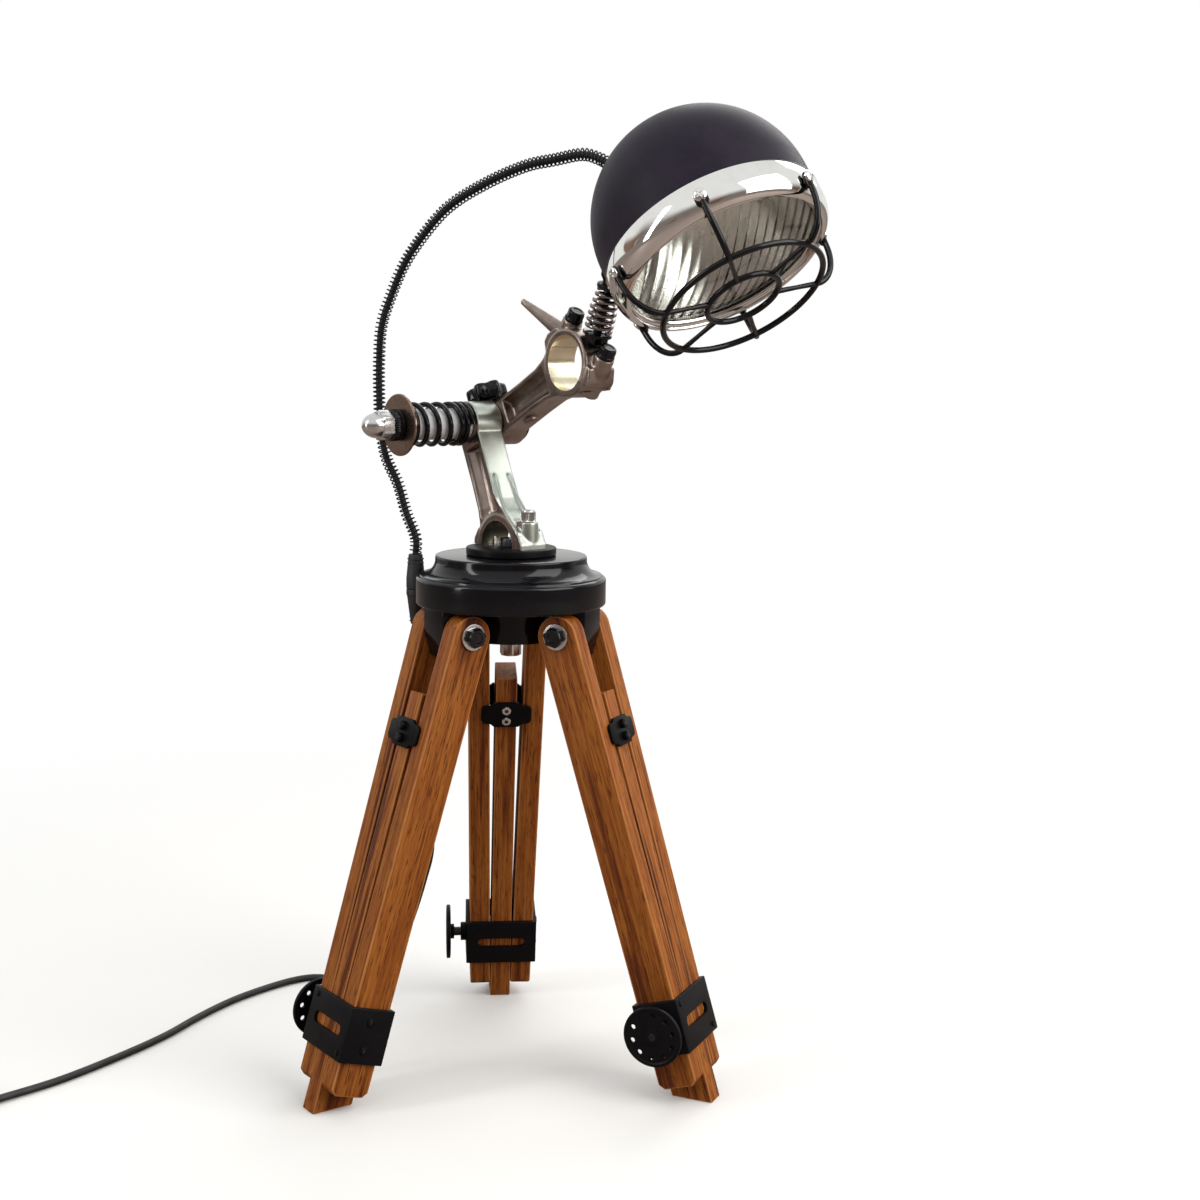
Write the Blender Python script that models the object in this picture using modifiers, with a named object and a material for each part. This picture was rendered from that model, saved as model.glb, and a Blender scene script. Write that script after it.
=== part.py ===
# Tripod desk lamp: a stained wooden tripod under a turned black head, an arm made of two cast
# connecting rods, and a round headlamp with a wire grille. Metres, +Z up. The origin is at the
# centre of the footprint, on the surface that the feet stand on.

import math

import bmesh
import bpy
import numpy as np
from mathutils import Matrix, Vector

# Clearances and overruns.
GAP = 0.0003
OVERRUN = 0.002
WELD = 0.000002
TURNED_WELD = 0.00005
SHARP_ANGLE = 40.0

# Turned tripod head.
FLANGE_RADIUS = 0.0700
FLANGE_TOP_Z = 0.3712
FLANGE_HEIGHT = 0.0180
TURRET_TOP_Z = 0.3895
TURRET_TOP_RADIUS = 0.0558
TURRET_EDGE = 0.0012
SHOULDER_DROP = 0.0030
CORE_RADIUS = 0.0355
CORE_BOTTOM_Z = 0.3280
LUG_WIDTH = 0.0270
LUG_REACH = 0.0665
LUG_BOTTOM_Z = 0.3180
LUG_TIP_REACH = 0.0610

# Swivel plate and its bolt.
PLATE_RADIUS = 0.0332
PLATE_THICKNESS = 0.0057
SWIVEL_RADIUS = 0.0059
SWIVEL_HEAD_RADIUS = 0.0095
SWIVEL_HEAD_HEIGHT = 0.0060
SWIVEL_NUT_RADIUS = 0.0086
SWIVEL_NUT_HEIGHT = 0.0130

# Legs. Each has two fixed outer slats and one sliding inner slat.
LEG_ANGLES = {"left": 210.0, "right": 330.0, "back": 90.0}
HEAD_SIDES = {"left": 1, "right": -1, "back": 1}
KNOB_SIDES = {"left": -1, "right": -1, "back": 1}
HINGE_RADIUS = 0.0520
HINGE_Z = 0.3365
FOOT_RADIUS = 0.1544
SLAT_THICKNESS = 0.0163
SLAT_DEPTH = 0.0300
SLAT_LENGTH = 0.3370
SLAT_END_CHAMFER = 0.0040
INNER_TOP_DROP = 0.0480
HINGE_BOLT_RADIUS = 0.0040
HINGE_HEX_RADIUS = 0.0075
HINGE_HEX_HEIGHT = 0.0055
HINGE_WASHER_RADIUS = 0.0095
HINGE_WASHER_THICKNESS = 0.0016

# Guide plates on the inner slat.
GUIDE_DROP = 0.0780
GUIDE_WIDTH = 0.0390
GUIDE_WING_HEIGHT = 0.0150
GUIDE_CENTRE_WIDTH = 0.0190
GUIDE_CENTRE_HEIGHT = 0.0210
GUIDE_THICKNESS = 0.0025
GUIDE_CORNER = 0.0030
GUIDE_TAPER = 0.0004
GUIDE_BOLT_SPACING = 0.0092
GUIDE_BOLT_RADIUS = 0.0019
GUIDE_HEAD_RADIUS = 0.0035
GUIDE_HEAD_HEIGHT = 0.0038
GUIDE_NUT_HEIGHT = 0.0022

# Clamp brackets and knobs at the foot of the outer slats.
CLAMP_DROP = 0.2920
CLAMP_HEIGHT = 0.0400
CLAMP_WALL = 0.0025
CLAMP_SLOT_LENGTH = 0.0386
CLAMP_SLOT_HEIGHT = 0.0085
CLAMP_RIVET_RADIUS = 0.0032
CLAMP_RIVET_HEIGHT = 0.0014
CLAMP_RIVET_SPACING = 0.0205
CLAMP_NUT_RADIUS = 0.0075
CLAMP_NUT_HEIGHT = 0.0050
KNOB_RADIUS = 0.0220
KNOB_THICKNESS = 0.0035
KNOB_HOLES = 10
KNOB_HOLE_RADIUS = 0.0019
KNOB_HOLE_CIRCLE = 0.0163
KNOB_SHAFT_RADIUS = 0.0035
KNOB_SHAFT_SHOWING = 0.0080

# Arm: one connecting rod stands on the plate, the other swings beside it.
ARM_AZIMUTH = 33.0
LOWER_ROD_LENGTH = 0.0977
LOWER_SPLIT_ANGLE = 25.3
UPPER_ROD_LENGTH = 0.1020
UPPER_SPLIT_ANGLE = 28.3
ROD_BASE_OFFSET = -0.0018
ARM_ELEVATION = 27.0
SMALL_END_RADIUS = 0.0165
SMALL_END_WIDTH = 0.0230
SHANK_WIDTH = 0.0220
SHANK_FLANGE = 0.0036
SHANK_WEB = 0.0060
SHANK_HALF = 0.0120
SHANK_SHARES = ((0.0, 1.04), (0.45, 1.0), (0.66, 1.06), (0.77, 1.25), (0.86, 1.72), (0.95, 1.88))
POCKET_START_SHARE = 1.25
POCKET_END_SHARE = 0.72
BIG_BORE_RADIUS = 0.0195
BIG_RING_RADIUS = 0.0242
BIG_END_WIDTH = 0.0240
BOSS_WIDTH = 0.0150
BOSS_DEPTH = 0.0232
BOSS_SPACING = 0.0445
BASE_BOSS = 0.0200
BACK_BOSS = 0.0110
BOSS_CAP = 0.0215
BOSS_ROUND_RADIUS = 0.0074
BOSS_STRAIGHT_SHARE = 0.2
BOSS_SHOULDER_SHARE = 0.6
BOSS_TAPER = 0.0050
SPIKE_LENGTH = 0.0590
SPIKE_ROOT_RADIUS = 0.0062
SPIKE_TIP_RADIUS = 0.0022
SPIKE_DROP = 10.7
SPIKE_LEVEL_SHARE = 0.42
ROD_BOLT_RADIUS = 0.0036
ROD_BOLT_HEAD_RADIUS = 0.0056
ROD_BOLT_HEAD_HEIGHT = 0.0080
ROD_SCREW_HEAD_RADIUS = 0.0062
ROD_SCREW_HEAD_HEIGHT = 0.0030
CAP_FLANGE_RADIUS = 0.0068
CAP_FLANGE_HEIGHT = 0.0016
CAP_HEX_RADIUS = 0.0058
CAP_HEX_HEIGHT = 0.0062

# Pivot stack, from the domed head on the far side to the dome nut.
PIN_RADIUS = 0.0060
PIN_HEAD_RADIUS = 0.0148
PIN_HEAD_HEIGHT = 0.0080
SPRING_LENGTH = 0.0560
SPRING_RADIUS = 0.0145
SPRING_WIRE_RADIUS = 0.0020
SPRING_OPEN_TURNS = 3.6
SPRING_CLOSED_TURNS = 1.0
SLEEVE_RADIUS = 0.0114
WASHER_RADIUS = 0.0225
WASHER_THICKNESS = 0.0020
LOCK_NUT_RADIUS = 0.0115
LOCK_NUT_HEIGHT = 0.0075
DOME_NUT_RADIUS = 0.0110
DOME_NUT_HEX_HEIGHT = 0.0095
DOME_RADIUS = 0.0092
DOME_HEIGHT = 0.0120
STAR_SHIFT = 0.0074
STAR_RADIUS = 0.0155
STAR_HEIGHT = 0.0120
STAR_LOBES = 6
STAR_LOBE_DEPTH = 0.0017
STAR_STUD_RADIUS = 0.0030
STAR_NECK_HEIGHT = 0.0008
STAR_NECK_RADIUS = 0.0062

# Spring mount of the lamp on the rod's cap.
SEAT_HEIGHT = 0.0298
SEAT_SHIFT = 0.0058
STUD_LEAN = 14.0
SEAT_RADIUS = 0.0105
SEAT_BLOCK = 0.0125
SEAT_DEPTH_SHARE = 0.85
STUD_RADIUS = 0.0030
HEAD_SPRING_LENGTH = 0.0330
HEAD_SPRING_WIDE = 0.0088
HEAD_SPRING_NARROW = 0.0066
HEAD_SPRING_WIRE = 0.0012
HEAD_SPRING_TURNS = 6.0
EAR_THICKNESS = 0.0030
EAR_RADIUS = 0.0085
EAR_BITE_SHARE = 0.94
EAR_NECK_SHARE = 0.76
WING_BARREL_RADIUS = 0.0055
WING_BARREL_HEIGHT = 0.0050
WING_SPAN = 0.0090
WING_HEIGHT = 0.0105
WING_THICKNESS = 0.0024
WING_LOW_SHARE = 0.55
WING_TIP_SHARE = 0.65
WING_ROOT_SHARE = 0.9

# Lamp. Heights are measured along its axis from the rim of the shell, forwards.
LAMP_REACH = 0.1636
LAMP_SIDE = 0.0450
LAMP_Z = 0.6156
LAMP_DIP = 52.7
LAMP_TURN = 1.1
SHELL_RADIUS = 0.0760
SHELL_DEPTH = 0.0903
SHELL_WALL = 0.0015
RING_OVERHANG = 0.0013
RING_WALL = 0.0022
RING_STRAIGHT = 0.0110
RING_FORWARD = 0.0240
RING_MOUTH_RADIUS = 0.0692
LENS_THICKNESS = 0.0028
LENS_RIM = 0.0145
LENS_CROWN = 0.0125
REFLECTOR_WALL = 0.0012
REFLECTOR_SIDE_SHARE = 0.7
REFLECTOR_DEPTH = 0.0630
HOLDER_RADIUS = 0.0127
HOLDER_LENGTH = 0.0200
BULB_RADIUS = 0.0135
BULB_BASE_RADIUS = 0.0080
BULB_LENGTH = 0.0440

# Wire grille.
GRILLE_FORWARD = 0.0504
GRILLE_RADIUS = 0.0571
GRILLE_INNER_RADIUS = 0.0257
GRILLE_WIRE = 0.0021
GRILLE_SPOKE = 0.0017
GRILLE_PHASE = -12.0
TAB_FORWARD = 0.0150
TAB_WIDTH = 0.0090
TAB_LENGTH = 0.0120
TAB_THICKNESS = 0.0020
TAB_SCREW_RADIUS = 0.0044
TAB_SCREW_HEIGHT = 0.0020

# Lead from the lamp to the coupler, in its wire guard.
GLAND_DIRECTION_SHARES = (-0.66, 0.60, 0.45)
GLAND_RADIUS = 0.0066
GLAND_LENGTH = 0.0120
GLAND_NECK_RADIUS = 0.0040
LEAD_RADIUS = 0.0022
GUARD_COIL_RADIUS = 0.0042
GUARD_WIRE_RADIUS = 0.00055
GUARD_TURNS = 28
COUPLER_ANGLE = 155.0
COUPLER_RADIUS = 0.0070
COUPLER_TOP_RADIUS = 0.0052
COUPLER_TOP_Z = 0.3860
COUPLER_SPLIT_Z = 0.3600
COUPLER_BOTTOM_Z = 0.3330
COUPLER_TAIL_RADIUS = 0.0036

# Route of the lead, from the lamp down to the coupler, in the tripod's own axes.
LEAD_ROUTE = (
    (0.0460, -0.0400, 0.6745),
    (0.0270, -0.0280, 0.6715),
    (0.0080, -0.0160, 0.6680),
    (-0.0170, 0.0000, 0.6580),
    (-0.0430, 0.0160, 0.6430),
    (-0.0600, 0.0270, 0.6260),
    (-0.0770, 0.0380, 0.6020),
    (-0.0880, 0.0440, 0.5770),
    (-0.0950, 0.0480, 0.5550),
    (-0.0970, 0.0500, 0.5290),
    (-0.0970, 0.0500, 0.5020),
    (-0.0960, 0.0490, 0.4810),
    (-0.0920, 0.0460, 0.4580),
    (-0.0830, 0.0400, 0.4380),
    (-0.0770, 0.0360, 0.4170),
)

# Mains cord. Its shown run hangs from the coupler, lies on the table and ends at the coil.
CORD_RADIUS = 0.0027
CORD_ROUTE = (
    (-0.0690, 0.0330, 0.3000),
    (-0.0650, 0.0345, 0.2500),
    (-0.0600, 0.0370, 0.2000),
    (-0.0585, 0.0400, 0.1580),
    (-0.0640, 0.0470, 0.1300),
    (-0.0740, 0.0640, 0.0920),
    (-0.0870, 0.0900, 0.0500),
    (-0.1010, 0.1200, 0.0190),
    (-0.1160, 0.1480, 0.0058),
    (-0.1330, 0.1720, 0.0029),
    (-0.1530, 0.1840, 0.0029),
    (-0.1740, 0.1780, 0.0029),
    (-0.2000, 0.1560, 0.0029),
    (-0.2230, 0.1300, 0.0029),
    (-0.2450, 0.0960, 0.0029),
    (-0.2660, 0.0580, 0.0029),
    (-0.2950, 0.0180, 0.0029),
    (-0.3310, -0.0240, 0.0029),
    (-0.3670, -0.0560, 0.0035),
)
COIL_CENTRE = (-0.4250, -0.0550)
COIL_LAYER_TURNS = 2.25
COIL_RADIUS = 0.0310
COIL_STEP = 0.0068
COIL_START = 313.0
TIE_WALL = 0.0012
TIE_WIDTH = 0.0070
TIE_ANGLE = 150.0
TAIL_LENGTH = 0.0450
PLUG_LENGTH = 0.0340
PLUG_WIDTH = 0.0260
PLUG_HEIGHT = 0.0140
PLUG_NOSE_SHARE = 0.62
PLUG_TAIL_SHARE = 1.6
PLUG_PIN_RADIUS = 0.0020
PLUG_PIN_LENGTH = 0.0190
PLUG_PIN_SPACING = 0.0190

# Sizes that follow from the ones above.
LEG_TILT = math.atan2(FOOT_RADIUS - HINGE_RADIUS, HINGE_Z)
HINGE_SLAT_Y = LUG_WIDTH / 2 + 2 * GAP + SLAT_THICKNESS / 2
FOOT_SLAT_Y = SLAT_THICKNESS + GAP
SPLAY = math.atan2(HINGE_SLAT_Y - FOOT_SLAT_Y, SLAT_LENGTH)
PLATE_TOP_Z = TURRET_TOP_Z + GAP + PLATE_THICKNESS
LOWER_SPLIT = math.radians(LOWER_SPLIT_ANGLE)
UPPER_SPLIT = math.radians(UPPER_SPLIT_ANGLE)
PIN_REACH = ROD_BASE_OFFSET - LOWER_ROD_LENGTH * math.sin(LOWER_SPLIT)
PIN_Z = PLATE_TOP_Z + GAP / 2 + LOWER_ROD_LENGTH * math.cos(LOWER_SPLIT)
UPPER_ROD_Y = SMALL_END_WIDTH + 1.5 * GAP
STACK_START = SMALL_END_WIDTH / 2 + GAP
COIL_HEIGHT = CORD_RADIUS + TIE_WALL + 2 * GAP
COIL_LAYER = 2 * CORD_RADIUS + 2.5 * GAP
COUPLER_REACH = FLANGE_RADIUS + GAP + COUPLER_RADIUS
CLAMP_HALF_IN = (
    HINGE_SLAT_Y
    + SLAT_THICKNESS / 2
    - (CLAMP_DROP - CLAMP_HEIGHT / 2) * math.tan(SPLAY)
    + GAP
)


def clear_scene():
    for obj in list(bpy.data.objects):
        bpy.data.objects.remove(obj, do_unlink=True)


def collection(name):
    made = bpy.data.collections.new(name)
    bpy.context.scene.collection.children.link(made)
    return made


def finish(name, colour, metallic, roughness):
    material = bpy.data.materials.new(name)
    material.use_nodes = True
    shader = material.node_tree.nodes["Principled BSDF"]
    shader.inputs["Base Color"].default_value = (*colour, 1.0)
    shader.inputs["Metallic"].default_value = metallic
    shader.inputs["Roughness"].default_value = roughness
    material.diffuse_color = (*colour, 1.0)
    return material


def frame(name, parent=None, location=(0, 0, 0), rotation=None):
    empty = bpy.data.objects.new(name, None)
    partCollection.objects.link(empty)
    empty.parent = parent
    place = Matrix.Translation(location)
    empty.matrix_local = place if rotation is None else place @ rotation.to_4x4()
    return empty


def put(obj, parent, place):
    obj.parent = parent
    obj.matrix_local = place
    return obj


def piece(name, mesh, parent, material, place=Matrix()):
    obj = bpy.data.objects.new(name, mesh)
    partCollection.objects.link(obj)
    mesh.materials.append(material)
    return put(obj, parent, place)


def turn(angle, axis):
    return Matrix.Rotation(angle, 4, axis)


def at(x, y, z):
    return Matrix.Translation((x, y, z))


# Meshes of plain shapes, in their own axes.
def smooth(mesh):
    mesh.shade_smooth()
    mesh.set_sharp_from_angle(angle=math.radians(SHARP_ANGLE))
    return mesh


def from_bmesh(shape):
    mesh = bpy.data.meshes.new("shape")
    shape.to_mesh(mesh)
    shape.free()
    return smooth(mesh)


def block(x, y, z):
    shape = bmesh.new()
    bmesh.ops.create_cube(shape, size=1, matrix=Matrix.Diagonal((x, y, z, 1)))
    return from_bmesh(shape)


def cone(low_radius, high_radius, height, sides=16):
    shape = bmesh.new()
    bmesh.ops.create_cone(
        shape, cap_ends=True, segments=sides, radius1=low_radius, radius2=high_radius,
        depth=height, matrix=at(0, 0, height / 2),
    )
    return from_bmesh(shape)


def cylinder(radius, height, sides=16):
    return cone(radius, radius, height, sides)


def profile_mesh(points, closed):
    mesh = bpy.data.meshes.new("profile")
    count = len(points)
    edges = [(i, i + 1) for i in range(count - 1)]
    if closed:
        edges.append((count - 1, 0))
    mesh.from_pydata([(radius, 0, height) for radius, height in points], edges, [])
    return mesh


def spin(obj, steps):
    screw = obj.modifiers.new("Turned", "SCREW")
    screw.steps = steps
    screw.render_steps = steps
    screw.use_merge_vertices = True
    screw.merge_threshold = TURNED_WELD
    screw.use_smooth_shade = True


def turned(name, points, closed, parent, material, place=Matrix(), steps=32):
    obj = piece(name, profile_mesh(points, closed), parent, material, place)
    spin(obj, steps)
    return obj


def evaluated_mesh(obj):
    graph = bpy.context.evaluated_depsgraph_get()
    mesh = bpy.data.meshes.new_from_object(obj.evaluated_get(graph))
    shape = bmesh.new()
    shape.from_mesh(mesh)
    bmesh.ops.remove_doubles(shape, verts=shape.verts, dist=WELD)
    bmesh.ops.recalc_face_normals(shape, faces=shape.faces)
    shape.to_mesh(mesh)
    shape.free()
    return smooth(mesh)


def poly_curve(points, radius, resolution):
    data = bpy.data.curves.new("path", "CURVE")
    data.dimensions = "3D"
    data.bevel_depth = radius
    data.bevel_resolution = resolution
    data.use_fill_caps = True
    spline = data.splines.new("POLY")
    spline.points.add(len(points) - 1)
    for point, place in zip(spline.points, points):
        point.co = (*place, 1.0)
    return data


def tube(name, points, radius, resolution, parent, material):
    data = poly_curve(points, radius, resolution)
    data.materials.append(material)
    obj = bpy.data.objects.new(name, data)
    partCollection.objects.link(obj)
    return put(obj, parent, Matrix())


def tube_mesh(points, radius, resolution):
    obj = bpy.data.objects.new("path", poly_curve(points, radius, resolution))
    cutterCollection.objects.link(obj)
    mesh = evaluated_mesh(obj)
    bpy.data.objects.remove(obj, do_unlink=True)
    return mesh


def plate_mesh(outline, thickness):
    # The outline lies in X and Z, and the plate is centred on Y.
    data = bpy.data.curves.new("outline", "CURVE")
    data.dimensions = "2D"
    data.fill_mode = "BOTH"
    data.extrude = thickness / 2
    spline = data.splines.new("POLY")
    spline.points.add(len(outline) - 1)
    for point, (x, z) in zip(spline.points, outline):
        point.co = (x, z, 0, 1.0)
    spline.use_cyclic_u = True
    obj = bpy.data.objects.new("outline", data)
    cutterCollection.objects.link(obj)
    mesh = evaluated_mesh(obj)
    bpy.data.objects.remove(obj, do_unlink=True)
    mesh.transform(turn(math.pi / 2, "X"))
    return mesh


def arc(centre_x, centre_z, radius, start, end, steps):
    places = []
    for i in range(steps + 1):
        angle = math.radians(start + (end - start) * i / steps)
        places.append((centre_x + radius * math.cos(angle), centre_z + radius * math.sin(angle)))
    return places


# Boolean joins and cuts. The second shape is kept as a hidden guide on the piece.
def boolean(target, mesh, operation, place, steps):
    guide = bpy.data.objects.new(target.name + "_guide", mesh)
    cutterCollection.objects.link(guide)
    put(guide, target, place)
    guide.hide_render = True
    guide.display_type = "WIRE"
    if steps:
        spin(guide, steps)
    modifier = target.modifiers.new(operation.title(), "BOOLEAN")
    modifier.operation = operation
    modifier.object = guide
    modifier.solver = "EXACT"


def cut(target, mesh, place=Matrix(), steps=0):
    boolean(target, mesh, "DIFFERENCE", place, steps)


def join(target, mesh, place=Matrix(), steps=0):
    boolean(target, mesh, "UNION", place, steps)


def ease(obj, width, segments=1):
    bevel = obj.modifiers.new("Eased", "BEVEL")
    bevel.width = width
    bevel.segments = segments
    bevel.limit_method = "ANGLE"
    bevel.angle_limit = math.radians(SHARP_ANGLE)


# Paths: a smooth curve through hand-chosen points, and wire wound round a path.
def smooth_path(points, count):
    given = [Vector(point) for point in points]
    padded = [2 * given[0] - given[1]] + given + [2 * given[-1] - given[-2]]
    fine = []
    parts = 12
    for i in range(1, len(padded) - 2):
        a, b, c, d = padded[i - 1], padded[i], padded[i + 1], padded[i + 2]
        for k in range(parts):
            t = k / parts
            fine.append(
                0.5 * (2 * b + (c - a) * t + (2 * a - 5 * b + 4 * c - d) * t ** 2
                       + (3 * b - a - 3 * c + d) * t ** 3)
            )
    fine.append(given[-1])
    lengths = [0.0]
    for first, second in zip(fine, fine[1:]):
        lengths.append(lengths[-1] + (second - first).length)
    even = []
    place = 0
    for i in range(count):
        target = lengths[-1] * i / (count - 1)
        while place < len(fine) - 2 and lengths[place + 1] < target:
            place += 1
        span = lengths[place + 1] - lengths[place]
        even.append(fine[place].lerp(fine[place + 1], (target - lengths[place]) / span))
    return even, lengths[-1]


def wound_round(path, radius, turns, per_turn):
    count = len(path)
    tangents = [(path[min(i + 1, count - 1)] - path[max(i - 1, 0)]).normalized() for i in range(count)]
    side = tangents[0].orthogonal().normalized()
    sides = []
    for tangent in tangents:
        side = (side - tangent * side.dot(tangent)).normalized()
        sides.append(side)
    steps = int(turns * per_turn)
    wire = []
    for i in range(steps + 1):
        place = i / steps * (count - 1)
        low = min(int(place), count - 2)
        share = place - low
        centre = path[low].lerp(path[low + 1], share)
        tangent = tangents[low].lerp(tangents[low + 1], share).normalized()
        across = sides[low].lerp(sides[low + 1], share)
        across = (across - tangent * across.dot(tangent)).normalized()
        angle = 2 * math.pi * i / per_turn
        wire.append(centre + radius * (across * math.cos(angle) + tangent.cross(across) * math.sin(angle)))
    return wire


def helix(radii, heights, turns, per_turn=10):
    # Radius and height are read from evenly spaced values along the turns.
    steps = int(round(turns * per_turn))
    shares = np.linspace(0, 1, steps + 1)
    radius = np.interp(shares, np.linspace(0, 1, len(radii)), radii)
    height = np.interp(shares, *heights)
    angle = shares * turns * 2 * math.pi
    return np.column_stack((radius * np.cos(angle), radius * np.sin(angle), height))


def print_least_gap(name, points, wire_radius, per_turn):
    places = np.array([tuple(point) for point in points])
    least = math.inf
    for i in range(len(places) - per_turn // 2):
        later = places[i + per_turn // 2 + 1:]
        if len(later):
            least = min(least, np.linalg.norm(later - places[i], axis=1).min())
    print(f"{name}: least gap between turns {(least - 2 * wire_radius) * 1000:.2f} mm")


# Tripod head, swivel plate and swivel bolt.
def make_turret():
    band_bottom = FLANGE_TOP_Z - FLANGE_HEIGHT
    bore = SWIVEL_RADIUS + GAP
    shoulder = FLANGE_TOP_Z + SHOULDER_DROP
    cove = arc(
        FLANGE_RADIUS - SHOULDER_DROP, TURRET_TOP_Z - SHOULDER_DROP,
        FLANGE_RADIUS - SHOULDER_DROP - TURRET_TOP_RADIUS, 180, 270, 3,
    )
    profile = [(bore, TURRET_TOP_Z), (TURRET_TOP_RADIUS - TURRET_EDGE, TURRET_TOP_Z)]
    profile.append((TURRET_TOP_RADIUS, TURRET_TOP_Z - TURRET_EDGE))
    profile += [(radius, max(height, shoulder)) for radius, height in cove]
    profile.append((FLANGE_RADIUS, FLANGE_TOP_Z))
    profile.append((FLANGE_RADIUS, band_bottom + TURRET_EDGE))
    profile.append((FLANGE_RADIUS - TURRET_EDGE, band_bottom))
    profile += [(CORE_RADIUS, band_bottom), (CORE_RADIUS, CORE_BOTTOM_Z + TURRET_EDGE)]
    profile += [(CORE_RADIUS - TURRET_EDGE, CORE_BOTTOM_Z), (bore, CORE_BOTTOM_Z)]
    turret = turned("turret_head", profile, True, root, black, steps=32)
    lug_outline = [(CORE_RADIUS - OVERRUN, band_bottom + OVERRUN), (LUG_REACH, band_bottom + OVERRUN)]
    lug_outline += [(LUG_REACH, HINGE_Z), (LUG_TIP_REACH, LUG_BOTTOM_Z)]
    lug_outline += [(HINGE_RADIUS, LUG_BOTTOM_Z), (CORE_RADIUS - OVERRUN, CORE_BOTTOM_Z)]
    for angle in LEG_ANGLES.values():
        place = turn(math.radians(angle), "Z")
        join(turret, plate_mesh(lug_outline, LUG_WIDTH), place)
        hole = cylinder(HINGE_BOLT_RADIUS + GAP, LUG_WIDTH + 2 * OVERRUN, 12)
        cut(
            turret, hole,
            place @ at(HINGE_RADIUS, LUG_WIDTH / 2 + OVERRUN, HINGE_Z) @ turn(math.pi / 2, "X"),
        )


def make_swivel():
    plate_profile = [(SWIVEL_RADIUS + GAP, PLATE_THICKNESS), (PLATE_RADIUS - TURRET_EDGE, PLATE_THICKNESS)]
    plate_profile += [(PLATE_RADIUS, PLATE_THICKNESS - TURRET_EDGE), (PLATE_RADIUS, 0)]
    plate_profile.append((SWIVEL_RADIUS + GAP, 0))
    plate = turned("swivel_plate", plate_profile, True, turntable, satinBlack, at(0, 0, GAP), 30)
    for side in (-1, 1):
        hole = cylinder(ROD_BOLT_RADIUS + GAP, PLATE_THICKNESS + 2 * OVERRUN, 10)
        cut(plate, hole, at(ROD_BASE_OFFSET + side * BOSS_SPACING / 2, 0, -OVERRUN))
    recess = cylinder(ROD_SCREW_HEAD_RADIUS + GAP, ROD_SCREW_HEAD_HEIGHT + OVERRUN + GAP, 12)
    cut(plate, recess, at(ROD_BASE_OFFSET - BOSS_SPACING / 2, 0, -OVERRUN))
    top = PLATE_THICKNESS + 2 * GAP + SWIVEL_HEAD_HEIGHT
    under_head = top - SWIVEL_HEAD_HEIGHT
    nut_top = CORE_BOTTOM_Z - GAP - TURRET_TOP_Z
    nut_bottom = nut_top - SWIVEL_NUT_HEIGHT
    profile = [(0, top), (SWIVEL_HEAD_RADIUS, top), (SWIVEL_HEAD_RADIUS, under_head)]
    profile += [(SWIVEL_RADIUS, under_head), (SWIVEL_RADIUS, nut_top), (SWIVEL_NUT_RADIUS, nut_top)]
    profile += [(SWIVEL_NUT_RADIUS, nut_bottom + OVERRUN), (SWIVEL_NUT_RADIUS - OVERRUN, nut_bottom)]
    profile.append((0, nut_bottom))
    turned("swivel_bolt", profile, False, turntable, darkSteel, steps=12)


# Legs. In a leg's frame Z runs up the leg through the hinge and X points outwards.
def foot_height(x):
    return -(HINGE_Z + x * math.sin(LEG_TILT)) / math.cos(LEG_TILT)


def make_leg(name, angle):
    rotation = turn(math.radians(angle), "Z") @ turn(-LEG_TILT, "Y")
    hinge = turn(math.radians(angle), "Z") @ Vector((HINGE_RADIUS, 0, HINGE_Z))
    leg = frame(name + "_leg_hinge", root, hinge, rotation)
    slide = frame(name + "_slide", leg)
    half = SLAT_DEPTH / 2
    outline = arc(0, 0, half, 0, 180, 8)
    outline += [(-half, -SLAT_LENGTH + SLAT_END_CHAMFER), (-half + SLAT_END_CHAMFER, -SLAT_LENGTH)]
    outline += [(half - SLAT_END_CHAMFER, -SLAT_LENGTH), (half, -SLAT_LENGTH + SLAT_END_CHAMFER)]
    for side, letter in ((1, "a"), (-1, "b")):
        place = at(0, side * HINGE_SLAT_Y, 0) @ turn(-side * SPLAY, "X")
        slat = piece(f"{name}_outer_slat_{letter}", plate_mesh(outline, SLAT_THICKNESS), leg, wood, place)
        hole = cylinder(HINGE_BOLT_RADIUS + GAP, SLAT_THICKNESS + 2 * OVERRUN, 12)
        cut(slat, hole, at(0, SLAT_THICKNESS / 2 + OVERRUN, 0) @ turn(math.pi / 2, "X"))
    make_inner_slat(name, slide)
    make_guides(name, slide)
    make_hinge_bolt(name, leg)
    make_clamp(name, leg)


def make_inner_slat(name, slide):
    half = SLAT_DEPTH / 2
    outline = [(half, -INNER_TOP_DROP), (-half, -INNER_TOP_DROP)]
    outline += [(-half, foot_height(-half)), (half, foot_height(half))]
    slat = piece(name + "_inner_slat", plate_mesh(outline, SLAT_THICKNESS), slide, wood)
    for side in (-1, 1):
        hole = cylinder(GUIDE_BOLT_RADIUS + GAP, SLAT_DEPTH + 2 * OVERRUN, 8)
        drop = -GUIDE_DROP + side * GUIDE_BOLT_SPACING / 2
        cut(slat, hole, at(-half - OVERRUN, 0, drop) @ turn(math.pi / 2, "Y"))


def guide_outline():
    wing_x, wing_z = GUIDE_WIDTH / 2, GUIDE_WING_HEIGHT / 2
    mid_x, mid_z = GUIDE_CENTRE_WIDTH / 2, GUIDE_CENTRE_HEIGHT / 2
    slope = mid_z - wing_z
    quarter = [(wing_x, wing_z - GUIDE_CORNER), (wing_x - GUIDE_CORNER, wing_z)]
    quarter += [(mid_x + slope, wing_z + GUIDE_TAPER), (mid_x, mid_z)]
    right = [(x, -z) for x, z in reversed(quarter)] + quarter
    return right + [(-x, -z) for x, z in right]


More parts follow.
